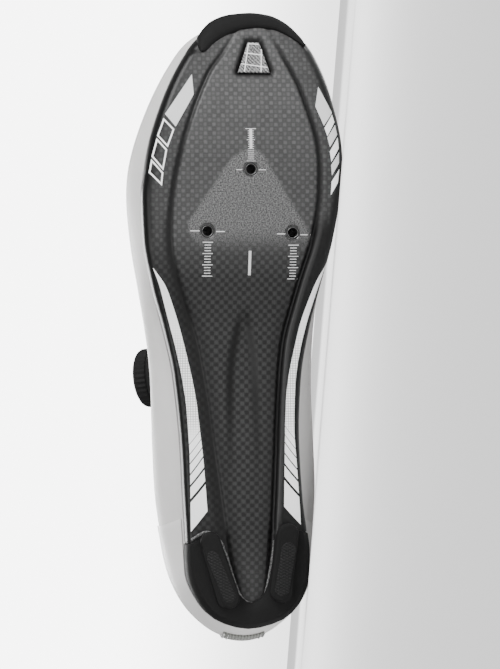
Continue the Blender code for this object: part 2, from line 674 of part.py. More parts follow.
def make_upper(collection):
    """The upper: one wall from its margin under the foot up to collar and throat."""
    builder = bmesh.new()
    rows = []
    for i in range(AROUND):
        angle = 2 * math.pi * i / AROUND
        rows.append([builder.verts.new(upper_outside(angle, level)) for level in LEVELS])
    for i in range(AROUND):
        first, second = rows[i], rows[(i + 1) % AROUND]
        for j in range(len(LEVELS) - 1):
            builder.faces.new((first[j], second[j], second[j + 1], first[j + 1]))
    upper = add_object("upper", mesh_from(builder, "upper"), collection, UPPER_SKIN)
    wall = upper.modifiers.new("wall", "SOLIDIFY")
    wall.thickness = WALL
    wall.offset = -1
    wall.use_even_offset = True
    wall.thickness_clamp = 0
    return upper


def make_insole(collection):
    """The footbed, lying on the upper's margin."""
    low, high = [], []
    inset = RIM_WALL + 2 * GAP + EDGE_ROUND * CORNER_SHARE + WALL + INSOLE_CLEAR
    for i in range(AROUND):
        spot = plan_inset(SOLE, 2 * math.pi * i / AROUND, inset)
        base = floor_at(spot.x) + 2 * SEAT + WALL
        low.append(Vector((spot.x, spot.y, base)))
        high.append(Vector((spot.x, spot.y, base + INSOLE_THICK)))
    rings = []
    half = AROUND // 2
    for i in range(1, half):
        a, b = low[i], low[-i]
        c, d = high[i], high[-i]
        rings.append([a, a.lerp(b, 0.5), b, d, d.lerp(c, 0.5), c])
    return add_object("insole", skin(rings, "insole"), collection, LINING)


def throat_point(share, angle_side, level, drop):
    """A point under the wall beside the throat."""
    turn = 0.50 + 0.50 * share
    angle = math.pi * turn if angle_side < 0 else math.pi * (2 - turn)
    return upper_outside(angle, level) - upper_outward(angle, level) * drop


def make_tongue(collection):
    """The tongue: a curved strip under the throat's edges, rising past the collar."""
    rings = []
    for share in spread(-0.10, 0.86, 15):
        held = max(share, 0.0)
        clear = WALL + TONGUE_CLEAR * (1 + held)
        slim = min(max(0.12 - share, 0.0) * 7, 1.0)
        points = []
        for level, side in ((3.86, -1), (3.95, -1), (3.95, 1), (3.86, 1)):
            points.append(throat_point(held, side, level, clear))
        left, right = points[1], points[2]
        rise = (right - left).length * TONGUE_CROWN * (1 - held)
        lift = Vector((-1.0, 0, 0.62)) * max(-share, 0.0) * TONGUE_LIFT
        middle = [left.lerp(right, part) + Vector((0, 0, rise * math.sin(math.pi * part)))
                  for part in (0.25, 0.5, 0.75)]
        edges = [points[0].lerp(left, slim), points[3].lerp(right, slim)]
        left, right = left.lerp(right, slim * TONGUE_SLIM), right.lerp(left, slim * TONGUE_SLIM)
        top = [edges[0].lerp(left, slim * 0.5), left] + middle + [right, edges[1].lerp(right, slim * 0.5)]
        top = [point + lift for point in top]
        under = [point - Vector((0, 0, TONGUE_THICK)) for point in reversed(top)]
        rings.append(top + under)
    return add_object("tongue", skin(rings, "tongue"), collection, LINING)


def make_heel_tab(collection):
    """The ribbed tape up the back of the heel."""
    half = TAB_WIDTH / 2
    reach = 0.0
    while abs(upper_outside(reach, 3.0).y) < half:
        reach += 0.01
    tab = strip(spread(-reach, reach, 9), spread(2.45, 3.93, 9), GAP, GAP + TAB_THICK, "heel_tab")
    return add_object("heel_tab", tab, collection, TAPE)


def frame_on_upper(angle, level):
    """A frame on the upper's outside: first axis along the shoe, third straight out."""
    spot = upper_outside(angle, level)
    out = upper_outward(angle, level)
    ahead = upper_outside(angle + STEP_ANGLE, level) - upper_outside(angle - STEP_ANGLE, level)
    ahead = (ahead - out * ahead.dot(out)).normalized()
    if ahead.x < 0:
        ahead.negate()
    across = out.cross(ahead)
    turn = Matrix((ahead, across, out)).transposed()
    return Matrix.Translation(spot) @ turn.to_4x4()


# Guides of the lace wire: side (-1 outer, 1 inner) and place along the throat
Guide = namedtuple("Guide", "name side turn")
GUIDES = (
    Guide("wire_guide_inner_top", 1, 0.600), Guide("wire_guide_outer_top", -1, 0.690),
    Guide("wire_guide_inner_low", 1, 0.770), Guide("wire_guide_outer_low", -1, 0.845),
)
GUIDE_LEVEL = 3.80
# How the wire turns round a guide: beyond its end, towards the throat, over its own height
WIRE_TURN = ((0.0036, 0.0042, 0.0012), (0.0026, 0.0016, 0.0004), (0.0006, 0.0, 0.0))

DIAL_ANGLE = math.pi * 0.478
DIAL_LEVEL = 3.52
DIAL_SPREAD = 0.30


def make_dial(collection, cutters):
    """The lace dial on the outer side: a base that follows the upper and a ribbed knob."""
    frame = frame_on_upper(DIAL_ANGLE, DIAL_LEVEL)
    angles = spread(DIAL_ANGLE - DIAL_SPREAD, DIAL_ANGLE + DIAL_SPREAD, 9)
    under = strip(angles, spread(3.2, 3.86, 9), -SEAT_REACH, GAP, "dial_seat")
    seat = add_object("dial_seat", under, cutters)
    base = turned("dial_base", collection, DIAL_BLACK, (
        (DIAL_BASE_RADIUS * 0.9, DIAL_BASE_HEIGHT), (DIAL_BASE_RADIUS, DIAL_BASE_HEIGHT * 0.55),
        (DIAL_BASE_RADIUS, -WINDOW_REACH)))
    base.matrix_basis = frame
    cut(base, seat)
    knob = turned("dial_knob", collection, DIAL_BLACK, (
        (DIAL_RADIUS * 0.80, DIAL_HEIGHT), (DIAL_RADIUS * 0.95, DIAL_HEIGHT - KNOB_EDGE),
        (DIAL_RADIUS, DIAL_HEIGHT - KNOB_SHOULDER), (DIAL_RADIUS, KNOB_FOOT), (DIAL_RADIUS * 0.96, 0.0)))
    knob.matrix_basis = frame @ Matrix.Translation((0, 0, DIAL_BASE_HEIGHT + GAP))
    return frame


def turned(name, collection, paint, profile, segments=32):
    """A turned solid: the profile runs from its top edge down its outer side."""
    builder = bmesh.new()
    points = [Vector((r, 0, z)) for r, z in profile]
    points = [Vector((0, 0, profile[0][1]))] + points + [Vector((0, 0, profile[-1][1]))]
    verts = [builder.verts.new(point) for point in points]
    edges = [builder.edges.new(pair) for pair in zip(verts, verts[1:])]
    bmesh.ops.spin(builder, geom=verts + edges, cent=(0, 0, 0), axis=(0, 0, 1), angle=2 * math.pi,
                   steps=segments, use_merge=True)
    return add_object(name, mesh_from(builder, name), collection, paint)


def over_upper(side, turn, level, height):
    """A point at a height over the upper's outside."""
    angle = math.pi * (turn if side < 0 else 2 - turn)
    return upper_outside(angle, level) + upper_outward(angle, level) * height


def guide_frame(guide):
    """The frame of one guide, on the wall beside the throat."""
    return frame_on_upper(math.pi * (guide.turn if guide.side < 0 else 2 - guide.turn), GUIDE_LEVEL)


def make_guides(collection):
    """The four bridges beside the throat that the lace wire runs under."""
    half, leg, roof = GUIDE_WIDTH / 2, GUIDE_LEG, GUIDE_HEIGHT - GUIDE_ROOF
    section = ((-half, SEAT), (-half * 0.9, roof), (-half * 0.5, GUIDE_HEIGHT), (half * 0.5, GUIDE_HEIGHT),
               (half * 0.9, roof), (half, SEAT), (half - leg, SEAT), (half - leg, roof),
               (leg - half, roof), (leg - half, SEAT))
    for guide in GUIDES:
        frame = guide_frame(guide)
        ends = (-GUIDE_LENGTH / 2, GUIDE_LENGTH / 2)
        rings = [[frame @ Vector((x, y, z)) for y, z in section] for x in ends]
        add_object(guide.name, skin(rings, guide.name), collection, DIAL_BLACK)


def wire_route(frame):
    """The lace wire's own points, from the dial through the guides to its fixed end."""
    reach = DIAL_BASE_RADIUS + GAP + WIRE_RADIUS
    lift = (GUIDE_HEIGHT - GUIDE_ROOF + GAP) / 2
    route = [frame @ Vector((reach * 0.42, reach * 0.95, DIAL_BASE_HEIGHT * 0.8)),
             over_upper(-1, 0.520, 3.90, 0.0022), over_upper(-1, 0.545, 3.99, 0.0028)]
    for guide in GUIDES:
        place = guide_frame(guide)
        turns = [(GUIDE_LENGTH / 2 + beyond, -guide.side * inward, lift + higher)
                 for beyond, inward, higher in WIRE_TURN]
        route += [place @ Vector((-x, y, z)) for x, y, z in turns]
        if guide is not GUIDES[-1]:
            route += [place @ Vector(spot) for spot in reversed(turns)]
    return route + [guide_frame(GUIDES[-1]) @ Vector((GUIDE_LENGTH / 2, 0, lift))]


def make_wire(collection, frame):
    """The steel lace wire with its crossings, as one tube."""
    route = wire_route(frame)
    data = bpy.data.curves.new("lace_wire", "CURVE")
    data.dimensions = "3D"
    data.bevel_depth = WIRE_RADIUS
    data.bevel_resolution = 1
    data.use_fill_caps = True
    spline = data.splines.new("POLY")
    points = rounded(route, 2)
    spline.points.add(len(points) - 1)
    for spot, point in zip(spline.points, points):
        spot.co = (*point, 1)
    guide_curve = bpy.data.objects.new("wire_curve", data)
    bpy.context.scene.collection.objects.link(guide_curve)
    graph = bpy.context.evaluated_depsgraph_get()
    mesh = bpy.data.meshes.new_from_object(guide_curve.evaluated_get(graph))
    bpy.data.objects.remove(guide_curve)
    builder = bmesh.new()
    builder.from_mesh(mesh)
    bpy.data.meshes.remove(mesh)
    return add_object("lace_wire", mesh_from(builder, "lace_wire"), collection, STEEL)


def rounded(route, parts):
    """A smooth curve through the route's points, with a few steps between each two."""
    points = []
    for i in range(len(route) - 1):
        before, start = route[max(i - 1, 0)], route[i]
        end, after = route[i + 1], route[min(i + 2, len(route) - 1)]
        span = (end - start).length
        lead = (end - before).normalized() * span / 3
        trail = (after - start).normalized() * span / 3
        for j in range(parts):
            u = j / parts
            points.append(start * (1 - u) ** 3 + (start + lead) * 3 * u * (1 - u) ** 2
                          + (end - trail) * 3 * u * u * (1 - u) + end * u ** 3)
    return points + [route[-1]]


def lay_on_side(shoe):
    """Turns the shoe onto its inner side and puts the middle of its footprint at the origin."""
    up = -FLOOR_NORMAL
    ahead = Vector((1, 0, 0))
    ahead = (ahead - up * ahead.dot(up)).normalized()
    turn = Matrix((ahead, up.cross(ahead), up)).to_4x4()
    lay_down.matrix_world = turn
    graph = bpy.context.evaluated_depsgraph_get()
    corners = []
    for part in shoe.objects:
        solid = part.evaluated_get(graph)
        corners += [solid.matrix_world @ vert.co for vert in solid.data.vertices]
    low = Vector([min(corner[i] for corner in corners) for i in range(3)])
    high = Vector([max(corner[i] for corner in corners) for i in range(3)])
    middle = (low + high) / 2
    lay_down.matrix_world = Matrix.Translation((-middle.x, -middle.y, -low.z)) @ turn


def main():
    """Builds the whole shoe."""
    shoe = bpy.data.collections.new("cycling_shoe")
    cutters = bpy.data.collections.new("cutters")
    bpy.context.scene.collection.children.link(shoe)
    bpy.context.scene.collection.children.link(cutters)
    bpy.context.scene.collection.objects.link(lay_down)
    holes = make_inserts(shoe, cutters)
    window = make_vent(shoe, cutters)
    make_outsole(shoe, holes + [window, make_toe_zone(cutters), make_heel_zone(cutters)])
    make_toe_bumper(shoe)
    make_heel_bumper(shoe, cutters)
    make_upper(shoe)
    make_insole(shoe)
    make_tongue(shoe)
    make_heel_tab(shoe)
    make_guides(shoe)
    make_wire(shoe, make_dial(shoe, cutters))
    lay_on_side(shoe)


for old in list(bpy.data.objects):
    bpy.data.objects.remove(old, do_unlink=True)
lay_down = bpy.data.objects.new("lay_down", None)
main()
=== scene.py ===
"""Looks of a road cycling shoe for the right foot, lying on its inner side.

Pieces are worked out in the upright shoe's own frame, x from heel to toe, y to the inner side and
z up from the ground, and are then laid down with it. Printed marks are placed by the picture's
own grid, which the sole's plan shares.
"""
import math
from collections import namedtuple

import bmesh
import bpy
from mathutils import Matrix, Vector


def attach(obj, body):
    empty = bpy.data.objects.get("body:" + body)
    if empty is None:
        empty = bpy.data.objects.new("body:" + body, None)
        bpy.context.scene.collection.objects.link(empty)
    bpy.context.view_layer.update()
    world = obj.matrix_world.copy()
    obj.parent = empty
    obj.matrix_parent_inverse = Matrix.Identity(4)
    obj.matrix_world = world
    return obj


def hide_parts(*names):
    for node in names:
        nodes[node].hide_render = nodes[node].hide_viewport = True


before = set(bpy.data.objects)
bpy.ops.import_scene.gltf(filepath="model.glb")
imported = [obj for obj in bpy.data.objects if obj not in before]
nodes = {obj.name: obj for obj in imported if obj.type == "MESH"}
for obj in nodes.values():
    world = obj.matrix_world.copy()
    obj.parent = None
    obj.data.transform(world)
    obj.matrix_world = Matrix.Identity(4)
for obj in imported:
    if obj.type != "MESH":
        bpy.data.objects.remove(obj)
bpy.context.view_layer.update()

# Lengths in metres
MM = 0.001
LENGTH = 0.286
BALL_WIDTH = 0.1007
INSTEP_HEIGHT = 0.084
HEEL_HEIGHT = 0.068
TOE_SPRING = 0.0165
ARCH_RISE = 0.0125
HEEL_STEP = 0.008
RIM_RISE = 0.0095
BULGE_HEIGHT = 0.030
RIM_WALL = 0.0014
GAP = 0.0003
LOW_FULLNESS = 1.8
STEP_ANGLE = 0.01
STEP_LEVEL = 0.01
# How the upright shoe lies: its own three axes and its heel point, seen from the floor it lies on
AHEAD = Vector((0.996837, 0.0, 0.079472))
INWARD = Vector((0.078748, 0.134725, -0.987749))
UPWARD = Vector((-0.010707, 0.990883, 0.134299))
HEEL_POINT = Vector((-0.141796, -0.043238, 0.023564))
TURN = Matrix((AHEAD, INWARD, UPWARD)).transposed()
LAY = Matrix.Translation(HEEL_POINT) @ TURN.to_4x4()
# The picture's grid: its size of one step on the sole, and the shoe's heel and middle line in it
STEP = 0.456 * MM
HEEL_ROW = 640.6
MIDDLE_COLUMN = 122.0


def table(columns, *rows):
    """Rows with named columns."""
    kind = namedtuple("Row", columns)
    return tuple(kind(*row) for row in rows)


# Outlines in plan, heights along the shoe and the upper's top edge, as shares of the sizes above
SOLE = table(
    "along outer inner",
    (0.0217, 0.000, 0.000), (0.0409, 0.163, 0.172), (0.0647, 0.226, 0.235), (0.1126, 0.281, 0.279),
    (0.1605, 0.283, 0.273), (0.2320, 0.294, 0.249), (0.3278, 0.308, 0.235), (0.4231, 0.335, 0.249),
    (0.4948, 0.380, 0.281), (0.5668, 0.439, 0.326), (0.6384, 0.480, 0.375), (0.7100, 0.488, 0.412),
    (0.7343, 0.480, 0.421), (0.7822, 0.458, 0.417), (0.8538, 0.394, 0.380), (0.9255, 0.294, 0.308),
    (0.9577, 0.226, 0.253), (0.9900, -0.035, 0.035),
)
BULGE = table(
    "along outer inner",
    (0.0000, 0.000, 0.000), (0.0217, 0.172, 0.159), (0.0647, 0.283, 0.276), (0.1126, 0.342, 0.322),
    (0.1605, 0.371, 0.333), (0.2320, 0.403, 0.342), (0.3278, 0.417, 0.331), (0.4231, 0.426, 0.317),
    (0.4948, 0.453, 0.322), (0.5668, 0.489, 0.345), (0.6384, 0.525, 0.394), (0.7100, 0.543, 0.448),
    (0.7343, 0.543, 0.457), (0.7822, 0.516, 0.444), (0.8538, 0.444, 0.412), (0.9255, 0.335, 0.340),
    (0.9577, 0.262, 0.281), (0.9900, -0.035, 0.035),
)
PROFILE = table(
    "along spring arch heel rim bulge",
    (0.000, 0.00, 0.00, 1.04, 1.20, 1.16), (0.042, 0.00, 0.00, 1.02, 1.12, 1.20),
    (0.140, 0.00, 0.00, 1.00, 1.05, 1.26), (0.300, 0.00, 0.10, 0.90, 1.00, 1.24),
    (0.367, 0.00, 0.62, 0.40, 1.00, 1.20), (0.423, 0.00, 1.00, 0.00, 1.00, 1.14),
    (0.500, 0.00, 0.86, 0.00, 1.00, 1.06), (0.555, 0.00, 0.50, 0.00, 1.00, 1.03),
    (0.600, 0.00, 0.17, 0.00, 1.00, 1.01), (0.638, 0.00, 0.00, 0.00, 1.00, 1.00),
    (0.768, 0.00, 0.00, 0.00, 1.00, 0.98), (0.822, 0.10, 0.00, 0.00, 1.00, 0.97),
    (0.874, 0.31, 0.00, 0.00, 0.98, 0.97), (0.927, 0.58, 0.00, 0.00, 0.95, 0.98),
    (0.976, 0.88, 0.00, 0.00, 0.92, 1.00), (1.000, 1.05, 0.00, 0.00, 0.90, 1.01),
)
TOP_LINE = table(
    "turn along outer inner heel instep full",
    (0.00, 0.017, 0.000, 0.000, 1.000, 0.000, 1.70), (0.10, 0.026, 0.110, 0.105, 0.988, 0.000, 1.70),
    (0.20, 0.075, 0.205, 0.190, 0.865, 0.040, 1.60), (0.30, 0.165, 0.255, 0.235, 0.600, 0.204, 1.50),
    (0.40, 0.275, 0.262, 0.240, 0.350, 0.427, 1.45), (0.47, 0.355, 0.230, 0.205, 0.100, 0.749, 1.40),
    (0.53, 0.415, 0.180, 0.155, 0.000, 0.945, 1.35), (0.62, 0.490, 0.155, 0.135, 0.000, 0.950, 1.28),
    (0.74, 0.570, 0.145, 0.125, 0.000, 0.875, 1.28), (0.86, 0.640, 0.115, 0.110, 0.000, 0.800, 1.45),
    (0.94, 0.672, 0.060, 0.068, 0.000, 0.765, 1.65), (1.00, 0.682, -0.005, 0.005, 0.000, 0.752, 1.75),
)


# Curves and surfaces of the shoe

def curve_through(keys, values, at):
    """Reads a smooth curve through the values at their keys; it never overshoots them."""
    at = min(max(at, keys[0]), keys[-1])
    last = len(keys) - 1
    spot = 0
    while spot < last - 1 and at > keys[spot + 1]:
        spot += 1
    spans = [keys[i + 1] - keys[i] for i in range(last)]
    rises = [(values[i + 1] - values[i]) / spans[i] for i in range(last)]

    def slope(i):
        if i == 0:
            return rises[0]
        if i == last:
            return rises[-1]
        if rises[i - 1] * rises[i] <= 0:
            return 0.0
        return 2 * rises[i - 1] * rises[i] / (rises[i - 1] + rises[i])

    width = spans[spot]
    u = (at - keys[spot]) / width
    start, end = values[spot], values[spot + 1]
    ease = u * u * (3 - 2 * u)
    return (start + (end - start) * ease
            + width * slope(spot) * u * (1 - u) ** 2
            - width * slope(spot + 1) * u * u * (1 - u))


def column(rows, name, at, key="along"):
    """Reads one named column of a table at a place of its key column."""
    return curve_through([getattr(row, key) for row in rows], [getattr(row, name) for row in rows], at)


def plan_point(rows, angle):
    """A point of a closed plan outline: angle 0 at the heel, pi at the toe, outer side first."""
    angle = angle % (2 * math.pi)
    outer = angle <= math.pi
    turn = angle if outer else 2 * math.pi - angle
    first, last = rows[0].along, rows[-1].along
    keys = [math.acos(1 - 2 * (row.along - first) / (last - first)) for row in rows]
    share = (1 - math.cos(turn)) / 2
    side = [(-row.outer if outer else row.inner) for row in rows]
    return Vector(((first + (last - first) * share) * LENGTH, curve_through(keys, side, turn) * BALL_WIDTH))


def plan_inset(rows, angle, inset):
    """A point of an outline, moved inwards."""
    step = plan_point(rows, angle + STEP_ANGLE) - plan_point(rows, angle - STEP_ANGLE)
    return plan_point(rows, angle) - Vector((step.y, -step.x)).normalized() * inset


def bottom_at(x):
    """Height of the sole's underside along the shoe."""
    along = x / LENGTH
    return (TOE_SPRING * column(PROFILE, "spring", along) + ARCH_RISE * column(PROFILE, "arch", along)
            + HEEL_STEP * column(PROFILE, "heel", along))


def rim_at(x):
    """Height of the sole's rim."""
    return bottom_at(x) + RIM_RISE * column(PROFILE, "rim", x / LENGTH)


def bulge_at(x):
    """Height at which the upper is widest."""
    return BULGE_HEIGHT * column(PROFILE, "bulge", x / LENGTH)


def side_of(rows, x, outer):
    """How far an outline lies from the middle line at one station."""
    first, last = rows[0].along, rows[-1].along
    share = min(max((x / LENGTH - first) / (last - first), 0.0), 1.0)
    turn = math.acos(1 - 2 * share)
    return abs(plan_point(rows, turn if outer else 2 * math.pi - turn).y)


# The floor, in the shoe's own frame
FLOOR_NORMAL = -(TURN.transposed() @ Vector((0, 0, 1)))
FLOOR_SPOT = TURN.transposed() @ (-HEEL_POINT)


def pressed(point, spare=0.0):
    """A point of the shoe, held back by the floor it lies on; spare keeps it a little further off."""
    beyond = (point - FLOOR_SPOT).dot(FLOOR_NORMAL) + spare
    return point - FLOOR_NORMAL * max(beyond, 0.0)


def upper_outside(angle, level):
    """The outside of the upper: levels 2 sole rim, 3 widest, 4 top edge."""
    angle = angle % (2 * math.pi)
    outer = angle <= math.pi
    turn = (angle if outer else 2 * math.pi - angle) / math.pi
    rim_plan = plan_inset(SOLE, angle, RIM_WALL + GAP)
    rim = Vector((rim_plan.x, rim_plan.y, rim_at(rim_plan.x)))
    wide_plan = plan_point(BULGE, angle)
    wide = Vector((wide_plan.x, wide_plan.y, bulge_at(wide_plan.x)))
    if level <= 3:
        share = max(level - 2, 0.0)
        point = rim.lerp(wide, 1 - (1 - share) ** LOW_FULLNESS)
        point.z = rim.z + (wide.z - rim.z) * share
        return pressed(point)

    def edge(name):
        return column(TOP_LINE, name, turn, "turn")

    across = -edge("outer") if outer else edge("inner")
    height = edge("heel") * HEEL_HEIGHT + edge("instep") * INSTEP_HEIGHT
    top = Vector((edge("along") * LENGTH, across * BALL_WIDTH, height))
    power = 2 / edge("full")
    swing = (level - 3) * math.pi / 2
    point = wide.lerp(top, 1 - math.cos(swing) ** power)
    point.z = wide.z + (top.z - wide.z) * math.sin(swing) ** power
    return pressed(point)


def upper_outward(angle, level):
    """The direction that points straight out of the upper."""
    low, high = max(level - STEP_LEVEL, 2.0), min(level + STEP_LEVEL, 4.0)
    along = upper_outside(angle + STEP_ANGLE, level) - upper_outside(angle - STEP_ANGLE, level)
    up = upper_outside(angle, high) - upper_outside(angle, low)
    return up.cross(along).normalized() * -1


def eased(low, high, at):
    """A soft step from 0 at low to 1 at high."""
    share = min(max((at - low) / (high - low), 0.0), 1.0)
    return share * share * (3 - 2 * share)


def spread(start, end, count):
    """Even steps from start to end."""
    return [start + (end - start) * i / (count - 1) for i in range(count)]


def from_picture(column_at, row_at):
    """A place on the sole's plan from its column and row in the picture."""
    return Vector(((HEEL_ROW - row_at) * STEP, (column_at - MIDDLE_COLUMN) * STEP))


# Relief of the sole's underside, as picture rows and columns

CREASES = table(
    "row outer inner deep",
    (22.0, 115.0, 139.0, 0.0), (45.0, 102.0, 150.2, 0.6), (58.0, 93.5, 156.8, 0.9),
    (69.0, 85.0, 162.5, 1.0), (87.5, 75.5, 171.3, 1.0), (107.5, 67.0, 178.0, 1.0),
    (127.5, 60.0, 184.4, 1.0), (147.5, 54.0, 188.8, 1.0), (170.0, 48.6, 190.6, 1.0),
    (190.0, 45.0, 190.4, 1.0), (210.0, 43.0, 188.6, 1.0), (230.0, 42.2, 185.0, 1.0),
    (250.0, 43.4, 180.2, 1.0), (274.0, 49.0, 173.0, 1.0), (301.0, 57.2, 166.0, 1.0),
    (346.0, 71.2, 156.0, 0.9), (395.0, 80.4, 152.2, 0.9), (440.0, 86.0, 149.6, 0.9),
    (502.6, 95.0, 147.0, 0.9), (560.0, 103.0, 143.5, 0.8), (590.0, 110.3, 140.5, 0.6),
    (628.0, 116.0, 130.0, 0.0),
)
KEEL = table(
    "row half deep crown",
    (10.0, 6.0, 0.0, 0.0), (306.0, 2.0, 0.0, 0.0), (318.0, 4.0, 0.6, 0.0), (332.0, 8.5, 1.0, 0.2),
    (355.0, 13.0, 1.0, 0.5), (385.0, 15.0, 1.0, 0.6), (420.0, 15.5, 0.7, 0.6), (470.0, 16.0, 0.25, 0.6),
    (520.0, 15.0, 0.0, 0.5), (640.0, 12.0, 0.0, 0.4),
)
GROOVE_DEEP = 1.5 * MM
GROOVE_HALF = 3.8 * MM
CREASE_PANEL, CREASE_FLANK = 0.58, 0.70
CREASE_WIDER = (0.60, -0.25)
RIDGE_HIGH = 0.8 * MM
RIDGE_HALF = 1.9 * MM
RIDGE_OFFSET = 2.6 * MM
TROUGH_DEEP = 2.4 * MM
TROUGH_COLUMN = 117.0
TROUGH_WALL = 4.2 * MM
RIDGE_STARTS, RIDGE_ENDS = (205.0, 235.0), (505.0, 560.0)
ROLL = 5.0 * MM
ROLL_NARROWS, ROLL_LESS = (260.0, 320.0), 0.35
ROLL_POWER = 2.2
ROLL_SHARE = 0.62
VENT_ROWS = (43.5, 73.7)
VENT_COLUMNS = ((121.8, 133.2), (111.1, 142.9))
VENT_DEEP = 2.3 * MM
VENT_SOFT = 3.4 * MM
FIRST_X, LAST_X = 0.0290 * LENGTH, 0.9870 * LENGTH
# How far the shell draws back under the rubber bumpers
TUCK = 1.7 * MM
TUCK_DEEP = 1.2 * MM
HEEL_TUCK_OUTER, HEEL_TUCK_INNER = 0.156 * LENGTH, 0.174 * LENGTH
TOE_EDGE = table(
    "across row",
    (76.0, 56.0), (84.0, 48.0), (100.0, 37.5), (116.0, 31.5), (134.0, 29.7), (149.0, 31.5), (162.0, 37.0),
    (177.0, 47.5), (180.0, 52.0),
)


def row_of(x):
    """The picture's row at one station of the shoe."""
    return HEEL_ROW - x / STEP


def vent_sides(share):
    """The columns of the vent's two sides, from its front at 0 to its rear at 1."""
    return [front + (rear - front) * share for front, rear in zip(*VENT_COLUMNS)]


def vent_distance(x, y):
    """How far a place lies outside the vent's window; negative inside it."""
    row = row_of(x)
    share = (row - VENT_ROWS[0]) / (VENT_ROWS[1] - VENT_ROWS[0])
    held = min(max(share, 0.0), 1.0)
    left, right = vent_sides(held)
    across = MIDDLE_COLUMN + y / STEP
    beside = max(left - across, across - right) * STEP
    before = max(VENT_ROWS[0] - row, row - VENT_ROWS[1]) * STEP
    if beside > 0 and before > 0:
        return math.hypot(beside, before)
    return max(beside, before)


class Station:
    """What the sole's underside needs to know about one place along the shoe."""

    def __init__(self, x):
        self.x = x
        row = row_of(x)
        self.low, self.rim = bottom_at(x), rim_at(x)
        self.edges = (side_of(SOLE, x, True) - TUCK * (1 - eased(HEEL_TUCK_OUTER, HEEL_TUCK_OUTER + MM, x)),
                      side_of(SOLE, x, False) - TUCK * (1 - eased(HEEL_TUCK_INNER, HEEL_TUCK_INNER + MM, x)))
        self.creases = [(column(CREASES, "outer", row, "row") - MIDDLE_COLUMN) * STEP,
                        (column(CREASES, "inner", row, "row") - MIDDLE_COLUMN) * STEP]
        self.deep = column(CREASES, "deep", row, "row")
        self.half = column(KEEL, "half", row, "row") * STEP
        self.trough = column(KEEL, "deep", row, "row") * TROUGH_DEEP
        self.crown = column(KEEL, "crown", row, "row") * MM
        self.ridge = eased(*RIDGE_STARTS, row) * (1 - eased(*RIDGE_ENDS, row))
        self.roll = ROLL * (1 - ROLL_LESS * eased(*ROLL_NARROWS, row))

    def groove(self, y, side):
        """How deep in a crease a place is, from 0 to 1."""
        beyond = (y - self.creases[side]) * (1 if side else -1)
        wide = GROOVE_HALF * (CREASE_FLANK + CREASE_WIDER[side] * self.ridge if beyond > 0 else CREASE_PANEL)
        away = abs(beyond) / wide
        return math.cos(away * math.pi / 2) ** 2 * self.deep if away < 1 else 0.0

    def satin(self, y):
        """The smooth ridge beside the inner crease, from 0 to 1; it also sets the ridge's painted highlight.
        """
        away = abs(y - self.creases[1] - RIDGE_OFFSET) / RIDGE_HALF
        return math.cos(away * math.pi / 2) ** 2 * self.ridge if away < 1 else 0.0

    def hollow(self, y):
        """How deep the trough is at a place, from 0 to 1."""
        away = abs(y - (TROUGH_COLUMN - MIDDLE_COLUMN) * STEP)
        return 1 - eased(max(self.half - TROUGH_WALL, 0.0), self.half + TROUGH_WALL / 2, away)

    def rise(self, y):
        """Relief over the plain underside; more is deeper into the shoe."""
        deep = GROOVE_DEEP * max(self.groove(y, 0), self.groove(y, 1)) - RIDGE_HIGH * self.satin(y)
        deep += self.trough * self.hollow(y)
        away = abs(y - (TROUGH_COLUMN - MIDDLE_COLUMN) * STEP) / max(self.half, 4 * MM)
        if away < 1:
            deep -= self.crown * math.cos(away * math.pi / 2) ** 2
        deep += VENT_DEEP * (1 - eased(-0.2 * MM, VENT_SOFT, vent_distance(self.x, y)))
        toe_row = column(TOE_EDGE, "row", MIDDLE_COLUMN + y / STEP, "across")
        return deep + TUCK_DEEP * eased(0.3 * MM, 1.5 * MM, (toe_row - row_of(self.x)) * STEP)

    def surface(self, y):
        """Height of the underside at a place across the shoe."""
        edge = self.edges[0] if y < 0 else self.edges[1]
        roll = min(self.roll, edge * 0.5)
        inside = max(edge - abs(y), 0.0)
        turned = 0.0
        if inside < roll:
            round_off = 1 - (1 - (1 - inside / roll) ** ROLL_POWER) ** (1 / ROLL_POWER)
            turned = round_off * (self.rim - self.low) * ROLL_SHARE
        return self.low + turned + self.rise(y)


def under_sole(x, y, off=0.0):
    """A point on the sole's underside, or a little off it."""
    spot = Station(x)
    return Vector((x, y, spot.surface(y) - off))


# Making pieces

def added(name, data):
    """A new object in the scene."""
    made = bpy.data.objects.new(name, data)
    bpy.context.scene.collection.objects.link(made)
    return made


def thicken(made, thick, way=-1):
    """Gives a sheet its wall, inwards or outwards."""
    wall = made.modifiers.new("thickness", "SOLIDIFY")
    wall.thickness = thick
    wall.offset = way


def piece(name, builder, paints, stands_for=(), sharp=None):
    """Turns a builder's mesh into a named piece of the shoe."""
    mesh = bpy.data.meshes.new(name)
    builder.to_mesh(mesh)
    builder.free()
    for paint in paints if isinstance(paints, (list, tuple)) else [paints]:
        mesh.materials.append(paint)
    mesh.shade_smooth()
    if sharp:
        mesh.set_sharp_from_angle(angle=math.radians(sharp))
    made = added(name, mesh)
    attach(made, "root")
    if stands_for:
        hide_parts(*stands_for)
    return made


def laid(builder):
    """Lays a builder's mesh down with the shoe."""
    bmesh.ops.transform(builder, matrix=LAY, verts=builder.verts)
    return builder


def sheet_of(across, along, place):
    """A grid whose points are put in place by a function of two shares."""
    builder = bmesh.new()
    bmesh.ops.create_grid(builder, x_segments=along, y_segments=across, size=0.5)
    for vert in builder.verts:
        vert.co = place(vert.co.x + 0.5, vert.co.y + 0.5)
    return builder


def merged(builder, *others):
    """Adds other builders' meshes to the first one."""
    for other in others:
        mesh = bpy.data.meshes.new("part")
        other.to_mesh(mesh)
        other.free()
        builder.from_mesh(mesh)
        bpy.data.meshes.remove(mesh)
    return builder


# Node groups and materials

